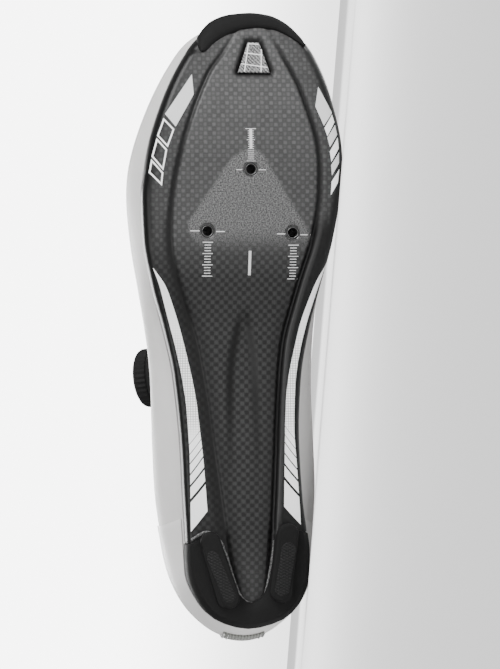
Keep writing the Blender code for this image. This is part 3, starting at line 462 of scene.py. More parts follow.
def node_group(name, size_name, size, outputs):
    """An empty shader node group that takes a place and a size, with named outputs."""
    group = bpy.data.node_groups.new(name, "ShaderNodeTree")
    group.interface.new_socket(name="Place", in_out="INPUT", socket_type="NodeSocketVector")
    socket = group.interface.new_socket(name=size_name, in_out="INPUT", socket_type="NodeSocketFloat")
    socket.default_value = size
    for label in outputs:
        group.interface.new_socket(name=label, in_out="OUTPUT", socket_type="NodeSocketFloat")
    return group, Wiring(group)


class Wiring:
    """Adds nodes to a tree and joins them."""

    def __init__(self, tree):
        self.tree = tree

    def add(self, kind, settings=None, **links):
        node = self.tree.nodes.new(kind)
        for label, value in (settings or {}).items():
            setattr(node, label, value)
        for label, value in links.items():
            self.join(node.inputs[label.replace("_", " ")], value)
        return node

    def join(self, socket, value):
        if isinstance(value, bpy.types.NodeSocket):
            self.tree.links.new(value, socket)
        elif value is not None:
            socket.default_value = value

    def math(self, operation, first, second=None, third=None):
        node = self.tree.nodes.new("ShaderNodeMath")
        node.operation = operation
        for socket, value in zip(node.inputs, (first, second, third)):
            self.join(socket, value)
        return node.outputs[0]

    def times(self, first, second):
        return self.math("MULTIPLY", first, second)

    def ripple(self, value, fine):
        """Ridges along a value, from 0 to 1."""
        return self.math("ABSOLUTE", self.math("SINE", self.times(value, fine)))

    def ramp(self, value, low, high):
        """A soft step from 0 to 1 between two values."""
        node = self.tree.nodes.new("ShaderNodeMapRange")
        node.interpolation_type = "SMOOTHSTEP"
        for socket, given in zip(node.inputs, (value, low, high, 0.0, 1.0)):
            self.join(socket, given)
        return node.outputs[0]

    def blend(self, share, first, second):
        """A colour between two colours."""
        node = self.tree.nodes.new("ShaderNodeMix")
        node.data_type = "RGBA"
        self.join(node.inputs[0], share)
        self.join(node.inputs[6], first)
        self.join(node.inputs[7], second)
        return node.outputs[2]

    def noise(self, place, scale, detail=2.0, roughness=0.5):
        links = {"Vector": place, "Scale": scale, "Detail": detail, "Roughness": roughness}
        node = self.add("ShaderNodeTexNoise", **links)
        return node.outputs["Fac"]

    def group(self, group, **links):
        return self.add("ShaderNodeGroup", {"node_tree": group}, **links)


def grey(value, warm=0.0):
    """A grey as a colour, a little warm or cool."""
    return (value * (1 + warm), value, value * (1 - warm), 1.0)


FIBRE_TURN = 15.0


def build_weave():
    """Plain weave of flat tows: how bright each crossing is painted, as a painted highlight on its crown, and
    how high the cloth stands, which also gives the painted checker of lighter and darker cells.
    """
    group, wire = node_group("carbon_weave", "Tow", 2.0, ("Bricks", "Crown", "Fibre"))
    start = group.nodes.new("NodeGroupInput")
    end = group.nodes.new("NodeGroupOutput")
    parts = wire.add("ShaderNodeSeparateXYZ", Vector=start.outputs["Place"])
    sway = wire.times(wire.noise(start.outputs["Place"], 0.35, 2.0), 0.5)
    u = wire.math("ADD", wire.math("DIVIDE", parts.outputs[0], start.outputs["Tow"]), sway)
    v = wire.math("SUBTRACT", wire.math("DIVIDE", parts.outputs[1], start.outputs["Tow"]), sway)
    both = wire.math("ADD", wire.math("FLOOR", u), wire.math("FLOOR", v))
    checker = wire.math("FLOORED_MODULO", both, 2.0)
    waves = [wire.math("SINE", wire.times(way, math.pi)) for way in (u, v)]
    # Crown: the checker of over and under tows, used as the cloth's height and as a painted reflection of the
    # tows
    soft = wire.ramp(wire.times(*waves), -0.75, 0.80)
    other = wire.math("SUBTRACT", 1.0, checker)
    tows = [wire.math("SINE", wire.times(way, FIBRE_TURN)) for way in (u, v)]
    fibre = wire.math("ADD", wire.times(tows[0], checker), wire.times(tows[1], other))
    # Painted highlight: each crossing is brighter in its middle than at its edges, a little more or less at
    # random
    crown_glints = [wire.math("POWER", wire.math("ABSOLUTE", wave), 0.7) for wave in waves]
    cell = wire.add("ShaderNodeCombineXYZ", X=wire.math("FLOOR", u), Y=wire.math("FLOOR", v)).outputs[0]
    chance = wire.add("ShaderNodeTexWhiteNoise", {"noise_dimensions": "2D"}, Vector=cell).outputs["Value"]
    crown_highlights = wire.times(*crown_glints)
    wire.join(end.inputs["Bricks"], wire.times(crown_highlights, wire.math("MULTIPLY_ADD", chance, 0.7, 0.5)))
    wire.join(end.inputs["Crown"], soft)
    wire.join(end.inputs["Fibre"], fibre)
    return group


def build_grain():
    """Fine grain and slow unevenness, for paint, rubber and skin."""
    group, wire = node_group("fine_grain", "Size", 1.0, ("Grain", "Patches"))
    start = group.nodes.new("NodeGroupInput")
    end = group.nodes.new("NodeGroupOutput")
    scaled = wire.add("ShaderNodeVectorMath", {"operation": "SCALE"}, Vector=start.outputs["Place"])
    wire.join(scaled.inputs["Scale"], wire.math("DIVIDE", 1.0, start.outputs["Size"]))
    wire.join(end.inputs["Grain"], wire.noise(scaled.outputs[0], 1.6, 3.0, 0.6))
    wire.join(end.inputs["Patches"], wire.noise(scaled.outputs[0], 0.07, 2.0, 0.5))
    return group


WEAVE = build_weave()
GRAIN = build_grain()


class Paint:
    """A material with its shader, its wiring and the place on the shoe in millimetres."""

    def __init__(self, name, rough=0.5, metal=0.0, coat=0.0, coat_rough=0.2, sheen=0.0, gloss=0.5):
        self.material = bpy.data.materials.new(name)
        self.material.use_nodes = True
        self.wire = Wiring(self.material.node_tree)
        self.shader = self.material.node_tree.nodes["Principled BSDF"]
        for label, value in (("Roughness", rough), ("Metallic", metal), ("Coat Weight", coat),
                             ("Coat Roughness", coat_rough), ("Sheen Weight", sheen),
                             ("Specular IOR Level", gloss)):
            self.shader.inputs[label].default_value = value
        place = self.wire.add("ShaderNodeTexCoord").outputs["Object"]
        turn = self.wire.add("ShaderNodeMapping", {"vector_type": "TEXTURE"}, Vector=place)
        turn.inputs["Location"].default_value = HEEL_POINT
        turn.inputs["Rotation"].default_value = TURN.to_euler()
        turn.inputs["Scale"].default_value = (MM, MM, MM)
        self.place = turn.outputs[0]

    def colour(self, value):
        self.wire.join(self.shader.inputs["Base Color"], value)

    def rough(self, value):
        self.wire.join(self.shader.inputs["Roughness"], value)

    def relief(self, height, distance, strength=1.0):
        bump = self.wire.add("ShaderNodeBump", Height=height)
        bump.inputs["Distance"].default_value = distance
        bump.inputs["Strength"].default_value = strength
        self.wire.join(self.shader.inputs["Normal"], bump.outputs[0])

    def mask(self, name):
        return self.wire.add("ShaderNodeAttribute", {"attribute_name": name}).outputs["Fac"]


def mottled(name, scale, dark, light, detail=2.0, **settings):
    """A material whose tone wanders between two greys."""
    paint = Paint(name, **settings)
    paint.colour(paint.wire.blend(paint.wire.noise(paint.place, scale, detail), grey(dark), grey(light)))
    return paint.material


# Vertex masks of the shell: smooth resin, painted shade, grit, painted light along the shoe, and the inner
# ridge's painted highlight
MASKS = ("smooth", "shade", "grit", "fore", "satin")


def carbon_paint():
    """Clear-coated carbon weave, smooth resin in the creases, and grit where a cleat grips; painted shade in
    the creases, along the trough, round the vent, at the rim and over the flanks, a painted highlight on the
    inner ridge and on each tow crossing, and cloth painted lighter at the toe and heel than in the waist.
    """
    paint = Paint("carbon_weave_shell", rough=0.45, coat=0.10, coat_rough=0.30, gloss=0.14)
    wire = paint.wire
    weave = wire.group(WEAVE, Place=paint.place)
    smooth, shade, grit, fore, satin = [paint.mask(name) for name in MASKS]
    # The weave's checker is a painted reflection, and its crown spots are painted highlights
    crown = wire.math("MULTIPLY_ADD", weave.outputs["Fibre"], 0.13, weave.outputs["Crown"])
    crown_highlights = wire.math("MULTIPLY_ADD", weave.outputs["Bricks"], 0.55, wire.times(crown, 0.45))
    # front is the cloth painted as lit, and back is the same cloth painted as shaded; the painted light mask
    # mixes them
    front = wire.blend(crown_highlights, grey(0.037), grey(0.096))
    back = wire.blend(crown, grey(0.006), grey(0.031))
    cloth = wire.blend(fore, back, front)
    uneven = wire.noise(paint.place, 0.12, 3.0)
    cloth = wire.blend(wire.times(uneven, 0.22), cloth, grey(0.02))
    resin = wire.blend(wire.ramp(wire.noise(paint.place, 0.5), 0.3, 0.8), grey(0.005), grey(0.009))
    body = wire.blend(smooth, cloth, resin)
    # Painted shade darkens the shell nearly to black where the shade mask is high
    body = wire.blend(shade, body, grey(0.002))
    # Painted highlight: the inner ridge is painted lighter
    body = wire.blend(satin, body, grey(0.036))
    speck = wire.noise(paint.place, 1.5, 4.0, 0.85)
    sand = wire.blend(wire.ramp(speck, 0.40, 0.62), grey(0.032), grey(0.20))
    # The grit is painted darker where the painted light along the shoe is low
    sand = wire.blend(wire.times(wire.math("SUBTRACT", 1.0, fore), 0.8), sand, grey(0.03))
    paint.colour(wire.blend(grit, body, sand))
    rough = wire.math("MULTIPLY_ADD", smooth, -0.12, 0.45)
    paint.rough(wire.math("MAXIMUM", rough, wire.times(grit, 0.75)))
    cloth_height = wire.times(crown, wire.math("SUBTRACT", 1.0, smooth))
    height = wire.math("ADD", wire.times(cloth_height, 0.4), wire.times(speck, grit))
    paint.relief(height, 0.00012, 0.6)
    return paint.material


GRID_TURN = 2.75
GRID_STARTS, GRID_ENDS = (90.0, 104.0), (150.0, 126.0)


def print_paint(name, light, grid=0.0):
    """Pale print on the shell, with the fine grid that shows through part of it."""
    paint = Paint(name, rough=0.5, gloss=0.3)
    wire = paint.wire
    grain = wire.group(GRAIN, Place=paint.place, Size=0.6)
    base = wire.blend(grain.outputs["Grain"], grey(light * 0.93), grey(light))
    if grid:
        parts = wire.add("ShaderNodeSeparateXYZ", Vector=paint.place)
        lines = []
        for part in (0, 1):
            wave = wire.ripple(parts.outputs[part], GRID_TURN)
            lines.append(wire.ramp(wave, 0.62, 0.10))
        mesh = wire.math("MAXIMUM", *lines)
        near = wire.times(wire.ramp(parts.outputs[0], *GRID_STARTS), wire.ramp(parts.outputs[0], *GRID_ENDS))
        share = wire.times(wire.times(mesh, near), grid)
        base = wire.blend(share, base, grey(light * 0.30))
    paint.colour(base)
    return paint.material


# The shell

SHEET_ALONG = 240
SHEET_ACROSS = 180
HOLES = ((122.0, 170.4), (79.1, 231.5), (163.5, 233.0))
HOLE_RADIUS = 3.45 * MM
HOLE_WALL = 2.2 * MM


# The rough triangle that a cleat grips, in the picture's rows and columns
GRIT_SIDES = table("column lean bend back", (105.0, -0.682, 222.0, 232.0), (134.0, 0.600, 236.0, 240.0))
GRIT_ROW = 156.0
GRIT_CLOSE = 0.6
GRIT_TIP_ROW, GRIT_TIP_COLUMN, GRIT_TIP_HALF = 148.5, 121.5, 14.0
GRIT_ROUND = 0.035
GRIT_FADE = (226.0, 256.0)
# Where the painted light on the front cloth, the painted shade of the dark waist and the painted light on the
# heel's cloth begin and end
AHEAD_ROWS, BEHIND_ROWS = (225.0, 285.0), (250.0, 330.0)
FRONT_DIMS, FRONT_ENDS, HEEL_STARTS = (60.0, 215.0), (215.0, 290.0), (520.0, 600.0)
RIM_BAND, RIM_BAND_AHEAD = 3.4 * MM, 2.6 * MM
# Widths of the painted shade beside the waist's creases and over the flanks
BANK_SHADE_WIDE = 8.5 * MM
FLANK_SHADE_WIDE = 4.0 * MM
WAIST_FLANK_SHADE = (2.0 * MM, 9.0 * MM)


def in_cleat_zone(row, across):
    """How far inside the rough triangle a place is: 1 inside, 0 outside."""
    inside = []
    for side, sign in zip(GRIT_SIDES, (1, -1)):
        edge = side.column + side.lean * (min(row, side.bend) - GRIT_ROW)
        edge += sign * max(row - side.back, 0.0) * GRIT_CLOSE
        inside.append(eased(-1.5, 2.0, (across - edge) * sign))
    tip = GRIT_ROUND * min(abs(across - GRIT_TIP_COLUMN), GRIT_TIP_HALF) ** 2
    return min(inside) * eased(0.0, 4.5, row - GRIT_TIP_ROW - tip) * (1 - eased(*GRIT_FADE, row))


def section_spot(station, share):
    """Across one section of the underside: share 0 at the outer rim, 1 at the inner rim."""
    side = 0 if share < 0.5 else 1
    sign = -1 if side == 0 else 1
    edge = station.edges[side]
    inward = share * 2 if side == 0 else (1 - share) * 2
    wall, roll = 0.07, 0.26
    top = station.low + (station.rim - station.low) * ROLL_SHARE
    if inward < wall:
        return sign * edge, station.rim + (top - station.rim) * inward / wall
    span = min(station.roll, edge * 0.5)
    if inward < roll:
        away = span * (1 - math.cos((inward - wall) / (roll - wall) * math.pi / 2))
    else:
        away = span + (edge - span) * (inward - roll) / (1 - roll)
    y = sign * (edge - away)
    return y, station.surface(y)


def masks_at(station, x, y):
    """How smooth the shell is at one place, how much painted shade and grit it has, how much painted light
    along the shoe it gets, and how much painted highlight on the inner ridge.
    """
    row, across = row_of(x), MIDDLE_COLUMN + y / STEP
    edge = station.edges[0] if y < 0 else station.edges[1]
    groove = max(station.groove(y, 0), station.groove(y, 1))
    band = RIM_BAND + RIM_BAND_AHEAD * (1 - eased(*AHEAD_ROWS, row))
    wall = 1 - eased(0.3 * band, band, edge - abs(y))
    flank = eased(0.0, 1.0 * MM, y - station.creases[1] + 1.5 * MM) * station.ridge
    # Painted shade along the walls of the waist's trough
    trench_shade = station.hollow(y) * (1 - station.hollow(y)) * 4 * min(station.trough / TROUGH_DEEP, 1.0)
    vent = 1 - eased(0.0, VENT_SOFT, vent_distance(x, y))
    smooth = min(max(flank, groove ** 2 * 0.55, wall, vent), 1.0)
    behind = eased(*BEHIND_ROWS, row)
    nearby = min(y - station.creases[0], station.creases[1] - y)
    # Painted shade beside both creases in the waist and over the flanks outside them, with more over the
    # outer flank in the waist
    bank_shade = behind * 0.55 * (1 - eased(0.0, BANK_SHADE_WIDE, abs(nearby)))
    flank_shade = 0.30 * eased(0.0, FLANK_SHADE_WIDE, -nearby)
    if y < station.creases[0]:
        flank_shade += 0.45 * behind * (1 - eased(*WAIST_FLANK_SHADE, -nearby))
    # Painted shade: the darkest of the creases, their banks, the trough walls, the vent's surround, the rim
    # band and the flanks, less where the ridge's painted highlight lies
    dark = max(groove ** 1.1 * 0.92, bank_shade, trench_shade * 0.90, vent * 0.66, wall * 0.8, flank_shade)
    shade = min(max(dark - station.satin(y), 0.0), 1.0)
    # Painted light along the shoe: the front cloth dims towards the waist and ends there, and the heel's
    # cloth is painted lighter again
    front = (1 - 0.30 * eased(*FRONT_DIMS, row)) * (1 - eased(*FRONT_ENDS, row))
    fore = max(front, 0.45 * eased(*HEEL_STARTS, row))
    return smooth, shade, in_cleat_zone(row, across), fore, station.satin(y) * 0.8


def make_shell():
    """The carbon shell: its underside and rim, as a thin dish with three holes."""
    stations = {}

    def station_at(share):
        key = round(share * SHEET_ALONG)
        if key not in stations:
            turn = math.pi * key / SHEET_ALONG
            blend = key / SHEET_ALONG * 0.72 + (1 - math.cos(turn)) / 2 * 0.28
            stations[key] = Station(FIRST_X + (LAST_X - FIRST_X) * blend)
        return stations[key]

    def place(along, across):
        station = station_at(along)
        y, z = section_spot(station, across)
        return pressed(Vector((station.x, y, z)))

    builder = sheet_of(SHEET_ACROSS, SHEET_ALONG, place)
    layers = [builder.verts.layers.float.new(name) for name in MASKS]
    for vert in builder.verts:
        values = masks_at(nearest(stations, vert.co.x), vert.co.x, vert.co.y)
        for layer, value in zip(layers, values):
            vert[layer] = value
    for column_at, row_at in HOLES:
        punch(builder, from_picture(column_at, row_at), HOLE_RADIUS)
    bmesh.ops.recalc_face_normals(builder, faces=builder.faces)
    thicken(piece("carbon_shell", laid(builder), carbon_paint(), ("outsole",)), RIM_WALL)


def nearest(stations, x):
    """The station next to x."""
    low, high = 0, SHEET_ALONG
    while high - low > 1:
        middle = (low + high) // 2
        if stations[middle].x <= x:
            low = middle
        else:
            high = middle
    return stations[low] if abs(stations[low].x - x) <= abs(stations[high].x - x) else stations[high]


def punch(builder, middle, radius):
    """Cuts a round hole in the sheet and gives it a short wall."""
    gone = [face for face in builder.faces if (face.calc_center_median().xy - middle).length < radius]
    bmesh.ops.delete(builder, geom=gone, context="FACES")
    edges = [edge for edge in builder.edges if edge.is_boundary
             and (edge.verts[0].co.xy - middle).length < radius * 2]
    for vert in {vert for edge in edges for vert in edge.verts}:
        away = (vert.co.xy - middle).normalized() * radius
        vert.co.x, vert.co.y = middle.x + away.x, middle.y + away.y
    grown = bmesh.ops.extrude_edge_only(builder, edges=edges)["geom"]
    raised = [item for item in grown if isinstance(item, bmesh.types.BMVert)]
    bmesh.ops.translate(builder, verts=raised, vec=(0, 0, HOLE_WALL))


# Printed marks

PRINT_OFF = 0.09 * MM
STRIPE_OUTER = table(
    "row outer inner",
    (268.0, 25.5, 25.9), (286.0, 32.5, 38.6), (303.0, 37.4, 45.5), (324.0, 43.4, 52.6),
    (354.0, 51.3, 60.7), (382.0, 57.1, 67.2), (405.0, 60.2, 70.9), (430.0, 61.8, 73.6),
    (460.0, 63.2, 76.8), (490.0, 63.6, 79.2), (529.0, 64.1, 82.0),
)
STRIPE_INNER = table(
    "row outer inner",
    (262.7, 199.3, 198.9), (279.5, 193.2, 189.0), (299.0, 187.0, 181.4), (323.0, 180.3, 173.8),
    (347.0, 174.8, 168.4), (375.0, 170.4, 162.9), (401.0, 168.6, 159.7), (430.0, 167.9, 158.4),
    (465.0, 170.2, 157.7), (500.0, 172.6, 157.2), (523.0, 173.9, 156.9),
)
CUTS_OUTER = table(
    "outer inner wide",
    (268.0, 268.0, 0.0), (442.8, 429.1, 0.7), (452.4, 437.6, 0.9), (461.6, 446.0, 1.4),
    (472.4, 455.0, 1.8), (483.8, 466.4, 2.6), (498.2, 480.5, 3.4), (529.0, 508.6, 0.0),
)
CUTS_INNER = table(
    "outer inner wide",
    (262.7, 262.7, 0.0), (437.6, 424.7, 0.7), (447.2, 433.2, 0.9), (456.1, 440.9, 1.4),
    (467.6, 451.7, 1.8), (479.0, 462.7, 2.6), (493.4, 476.4, 3.4), (522.7, 504.5, 0.0),
)
SOLID_BLOCKS = (
    ((64.9, 76.3), (66.2, 96.4), (47.7, 128.7), (37.4, 116.3)),
    ((190.5, 88.0), (203.6, 114.1), (194.9, 127.1), (186.9, 107.8)),
)
FRAMES = (
    ((35.8, 120.1), (46.4, 131.4), (39.6, 149.3), (29.1, 137.9)),
    ((28.7, 140.1), (39.0, 151.5), (35.2, 172.1), (23.6, 158.5)),
    ((23.3, 160.7), (35.2, 174.3), (33.8, 187.3), (20.8, 174.3)),
)
WHITE_BARS = (
    ((203.6, 115.7), (205.8, 123.3), (198.2, 137.4), (195.5, 129.3)),
    ((208.7, 138.5), (209.6, 149.3), (202.0, 162.9), (200.4, 152.6)),
    ((210.1, 169.9), (208.5, 183.5), (201.4, 196.0), (202.2, 182.4)),
)
GREY_BARS = (
    ((206.3, 126.0), (208.3, 135.8), (200.6, 148.2), (198.2, 139.0)),
    ((209.9, 153.1), (209.8, 164.0), (202.5, 176.4), (201.7, 166.1)),
)
FRAME_WIDE = 1.6
LONG_STRIPE = 40


def on_sole(picture_spot, off=PRINT_OFF):
    """A picture place as a point just off the sole's underside."""
    spot = from_picture(*picture_spot)
    return pressed(under_sole(spot.x, spot.y, off))


def printed_quad(corners, along=10, across=6):
    """A four-sided print that lies on the sole."""
    a, b, c, d = [Vector(corner) for corner in corners]
    return sheet_of(across, along, lambda u, v: on_sole(a.lerp(b, u).lerp(d.lerp(c, u), v)))


def printed_frame(corners):
    """A four-sided print with its middle left open."""
    points = [Vector(corner) for corner in corners]
    inner = []
    for i in range(4):
        before = (points[i - 1] - points[i]).normalized()
        after = (points[(i + 1) % 4] - points[i]).normalized()
        turn = max(abs(before.x * after.y - before.y * after.x), 0.3)
        inner.append(points[i] + (before + after) * (FRAME_WIDE / turn))
    sides = []
    for i in range(4):
        j = (i + 1) % 4
        sides.append(printed_quad((points[i], points[j], inner[j], inner[i]), 8, 3))
    return merged(*sides)


def printed_stripe(rows, cuts):
    """A long print between two edges, cut across by slanting gaps."""
    parts = []
    for first, second in zip(cuts, cuts[1:]):
        near, far = first.wide / 2, second.wide / 2

        def place(u, v, first=first, second=second, near=near, far=far):
            start = first.outer + (first.inner - first.outer) * v + near
            stop = second.outer + (second.inner - second.outer) * v - far
            row = start + (stop - start) * u
            outer, inner = column(rows, "outer", row, "row"), column(rows, "inner", row, "row")
            return on_sole((outer + (inner - outer) * v, row))

        parts.append(sheet_of(7, 90 if second.outer - first.outer > LONG_STRIPE else 12, place))
    return merged(*parts)


def tick(column_at, row_at, half_across, half_along):
    """One small bar of a scale."""
    return ((column_at - half_across, row_at - half_along), (column_at + half_across, row_at - half_along),
            (column_at + half_across, row_at + half_along), (column_at - half_across, row_at + half_along))


# The scales that help to set a cleat, in the picture's columns and rows
SIDE_SCALES = ((79.2, 242.6), (164.3, 245.3))
SIDE_TICKS, SIDE_STEP = 13, 2.77
FRONT_TICKS, TIP_TICKS = 10, 6
FRONT_LINES = ((107.5, 113.0), (129.5, 137.0))
CROSS_LINES = ((61.8, 71.0, 231.4), (87.3, 96.0, 232.0), (147.8, 155.9, 234.2), (171.1, 181.4, 235.0))


def scale_marks():
    """The scales, cross lines and centre bars that help to set a cleat."""
    bars = []
    for middle, first in SIDE_SCALES:
        for i in range(SIDE_TICKS):
            half = 5.1 if i % 4 == 0 else 3.2
            bars.append(tick(middle, first + i * SIDE_STEP, half, 0.42))
    for left, right, row in CROSS_LINES:
        bars.append(tick((left + right) / 2, row, (right - left) / 2, 0.45))
    for left, right in FRONT_LINES:
        bars.append(tick((left + right) / 2, 171.0, (right - left) / 2, 0.35))
    bars.append(tick(121.2, 263.0, 1.35, 12.0))
    bars.append(tick(MIDDLE_COLUMN, 140.5, 1.35, 10.0))
    for i in range(FRONT_TICKS):
        half = 5.2 if i == 0 else 4.0 if i == 5 else 2.9
        bars.append(tick(MIDDLE_COLUMN, 130.4 + i * 2.2, half, 0.28))
    for i in range(TIP_TICKS):
        bars.append(tick(MIDDLE_COLUMN, 152.4 + i * 2.0, 4.3 if i == TIP_TICKS - 1 else 3.0, 0.24))
    return bars


def make_prints():
    """All the marks printed on the shell."""
    white = print_paint("white_print", 0.96, 0.90)
    pale = print_paint("pale_print", 0.62)
    stripes = [printed_stripe(STRIPE_OUTER, CUTS_OUTER), printed_stripe(STRIPE_INNER, CUTS_INNER)]
    blocks = [printed_quad(quad) for quad in SOLID_BLOCKS + GREY_BARS]
    bars = [printed_quad(quad) for quad in WHITE_BARS] + [printed_frame(quad) for quad in FRAMES]
    marks = [printed_quad(bar, 3, 3) for bar in scale_marks()]
    for name, sheets, paint in (("waist_stripes", stripes, white), ("pale_blocks", blocks, pale),
                                ("white_bars", bars, white), ("scale_marks", marks, pale)):
        piece(name, laid(facing_out(merged(*sheets))), paint)


def facing_out(builder):
    """Turns every face of a print away from the sole."""
    builder.normal_update()
    wrong = [face for face in builder.faces if face.normal.z > 0]
    bmesh.ops.reverse_faces(builder, faces=wrong)
    return builder


# Pieces that follow their solids

def refined(node, paint, bevel=0.0, levels=0, sharp=35, name=None, sort=None):
    """A smoother copy of a solid, with its edges rounded."""
    builder = bmesh.new()
    builder.from_mesh(nodes[node].data)
    bmesh.ops.remove_doubles(builder, verts=builder.verts, dist=0.00001)
    bmesh.ops.join_triangles(builder, faces=builder.faces, angle_face_threshold=math.radians(14),
                             angle_shape_threshold=math.radians(70))
    if bevel:
        edges = [edge for edge in builder.edges if edge.calc_face_angle(0) > math.radians(sharp)]
        bmesh.ops.bevel(builder, geom=edges, offset=bevel, affect="EDGES", segments=3, profile=0.5,
                        material=-1, clamp_overlap=True)
    if sort:
        for face in builder.faces:
            face.material_index = sort(face)
    made = piece(name or f"{node}_skin", builder, paint, (node,), 50)
    if levels:
        smooth = made.modifiers.new("smooth", "SUBSURF")
        smooth.levels = levels
        smooth.render_levels = levels
    return made


def rubber_paint(name, light):
    """Matt black rubber with a fine moulded grain and a little dust."""
    paint = Paint(name, rough=0.66, gloss=0.08)
    wire = paint.wire
    grain = wire.group(GRAIN, Place=paint.place, Size=0.35)
    base = wire.blend(grain.outputs["Grain"], grey(light * 0.8), grey(light * 1.2))
    paint.colour(wire.blend(wire.times(grain.outputs["Patches"], 0.12), base, grey(light * 3)))
    paint.relief(grain.outputs["Grain"], 0.00006, 0.5)
    return paint.material


def hatch_paint():
    """Rubber tread with fine diamonds."""
    paint = Paint("hatched_rubber", rough=0.7, gloss=0.2)
    wire = paint.wire
    parts = wire.add("ShaderNodeSeparateXYZ", Vector=paint.place)
    slants = []
    for sign in (1.0, -1.0):
        lean = wire.math("MULTIPLY_ADD", parts.outputs[1], sign * 0.5, parts.outputs[0])
        slants.append(wire.ramp(wire.ripple(lean, HATCH_TURN), 0.15, 0.7))
    cells = wire.times(*slants)
    paint.colour(wire.blend(cells, grey(0.005), grey(0.012)))
    paint.relief(cells, 0.0003, 0.9)
    return paint.material


HATCH_TURN = 2.3
PAD_SIDES = 48
# A pale bead along the inner edge of the heel's horseshoe, which paints the highlight where that edge catches
# light
EDGE_LINE = (
    (64.4, 537.1), (72.3, 531.9), (80.1, 529.3), (88.0, 533.2), (94.5, 541.0), (99.7, 554.1), (105.0, 571.1),
    (111.5, 589.4), (116.7, 597.3), (124.6, 600.5), (132.4, 598.6), (137.6, 592.0), (141.6, 577.6),
    (145.5, 554.1), (147.5, 538.4),
)
EDGE_OFF, EDGE_RADIUS = 0.85 * MM, 0.75 * MM
PAD = "start end wide"
LUGS = table(PAD, ((82.0, 538.0), (101.5, 594.0), 18.0), ((159.0, 531.5), (151.5, 587.0), 20.0))
HATCHED_PADS = table(PAD, ((84.0, 553.0), (100.5, 592.0), 12.5), ((159.5, 546.0), (153.0, 585.0), 14.5))
# Rings of a pad in millimetres: how far each grows past the pad's side, and its height
RING = "grow height"
LUG_RINGS = table(RING, (0.5, 1.4), (0.3, 0.5), (0.0, 0.0), (-0.5, -0.22), (-1.3, -0.30))
HATCH_RINGS = table(RING, (0.0, 0.4), (0.0, -0.26), (-0.15, -0.42), (-0.5, -0.48))


def rounded_pad(pad, rings):
    """A long pad with round ends, built ring by ring and closed on its top."""
    start, end = from_picture(*pad.start), from_picture(*pad.end)
    along = (end - start).normalized()
    across = Vector((-along.y, along.x))

    def settle(verts, ring):
        for vert in verts:
            way = turns[vert.index % PAD_SIDES]
            middle = end if math.cos(way) >= 0 else start
            reach = pad.wide / 2 * STEP + ring.grow * MM
            spot = middle + (along * math.cos(way) + across * math.sin(way)) * reach
            vert.co = (spot.x, spot.y, ring.height * MM)

    turns = [2 * math.pi * i / PAD_SIDES for i in range(PAD_SIDES)]
    builder = bmesh.new()
    verts = bmesh.ops.create_circle(builder, segments=PAD_SIDES, radius=1.0)["verts"]
    for i, vert in enumerate(verts):
        vert.index = i
    settle(verts, rings[0])
    edges = builder.edges[:]
    for ring in rings[1:]:
        old = list(verts)
        grown = bmesh.ops.extrude_edge_only(builder, edges=edges)["geom"]
        edges = [item for item in grown if isinstance(item, bmesh.types.BMEdge)
                 and all(vert not in old for vert in item.verts)]
        fresh = {vert for edge in edges for vert in edge.verts}
        verts = []
        for vert in old:
            twin = next(edge.other_vert(vert) for edge in vert.link_edges if edge.other_vert(vert) in fresh)
            twin.index = vert.index
            verts.append(twin)
        settle(verts, ring)
    bmesh.ops.contextual_create(builder, geom=edges)
    bmesh.ops.recalc_face_normals(builder, faces=builder.faces)
    return builder


TOE_PATCH = table(
    "share outer_column outer_row inner_column inner_row high",
    (0.00, 73.0, 50.5, 75.5, 53.6, 0.30), (0.03, 71.6, 46.0, 78.6, 53.9, 0.55),
    (0.07, 71.6, 41.0, 82.4, 51.6, 0.85), (0.12, 74.6, 34.5, 86.5, 47.4, 1.00),
    (0.25, 87.0, 21.5, 100.0, 38.0, 1.00), (0.40, 106.0, 14.6, 117.0, 31.5, 1.00),
    (0.52, 126.0, 12.8, 131.0, 29.6, 1.00), (0.65, 144.0, 15.0, 146.0, 31.0, 1.00),
    (0.78, 160.0, 22.5, 160.0, 36.5, 1.00), (0.90, 173.0, 34.5, 170.5, 43.0, 1.00),
    (0.97, 178.5, 42.0, 176.3, 46.6, 0.70), (1.00, 179.6, 45.6, 178.6, 47.4, 0.35),
)
LIP = 0.9 * MM
LIP_SHARE, LIP_SUNK = 0.07, 0.5 * MM
TOE_CENTRE = 230 * MM
TOE_LEAN = 2.2 * MM
RUBBER_WALL = 1.2 * MM
UNDER_SHARE = 0.55


def make_toe_bumper(rubber):
    """The rubber cap that wraps from under the toe to just over the sole's rim."""
    def place(u, v):
        spots = [column(TOE_PATCH, name, u, "share") for name in TOE_PATCH[0]._fields[1:]]
        outer, inner = from_picture(*spots[:2]), from_picture(*spots[2:4])
        low = bottom_at(inner.x)
        middle = low + (rim_at(outer.x) - low) * 0.50
        top = middle + (rim_at(outer.x) + MM - middle) * spots[4]
        if v < UNDER_SHARE:
            turn = v / UNDER_SHARE * math.pi / 2
            flat = inner.lerp(outer, math.sin(turn) ** 0.9)
            short = 1 - min(v / LIP_SHARE, 1.0)
            lip = LIP * (1 - short ** 2) - LIP_SUNK * short
            height = low - lip + (middle - low + lip) * (1 - math.cos(turn)) ** 1.25
        else:
            rise = (v - UNDER_SHARE) / (1 - UNDER_SHARE)
            inward = (Vector((TOE_CENTRE, 0)) - outer).normalized()
            flat = outer + inward * TOE_LEAN * rise ** 2.4
            height = middle + (top - middle) * rise
        return Vector((flat.x, flat.y, height))

    builder = sheet_of(34, 110, place)
    bmesh.ops.recalc_face_normals(builder, faces=builder.faces)
    lowest = min(builder.faces, key=lambda face: face.calc_center_median().z)
    if lowest.normal.z > 0:
        bmesh.ops.reverse_faces(builder, faces=builder.faces)
    thicken(piece("toe_bumper_skin", laid(builder), rubber, ("toe_bumper",), 50), RUBBER_WALL)


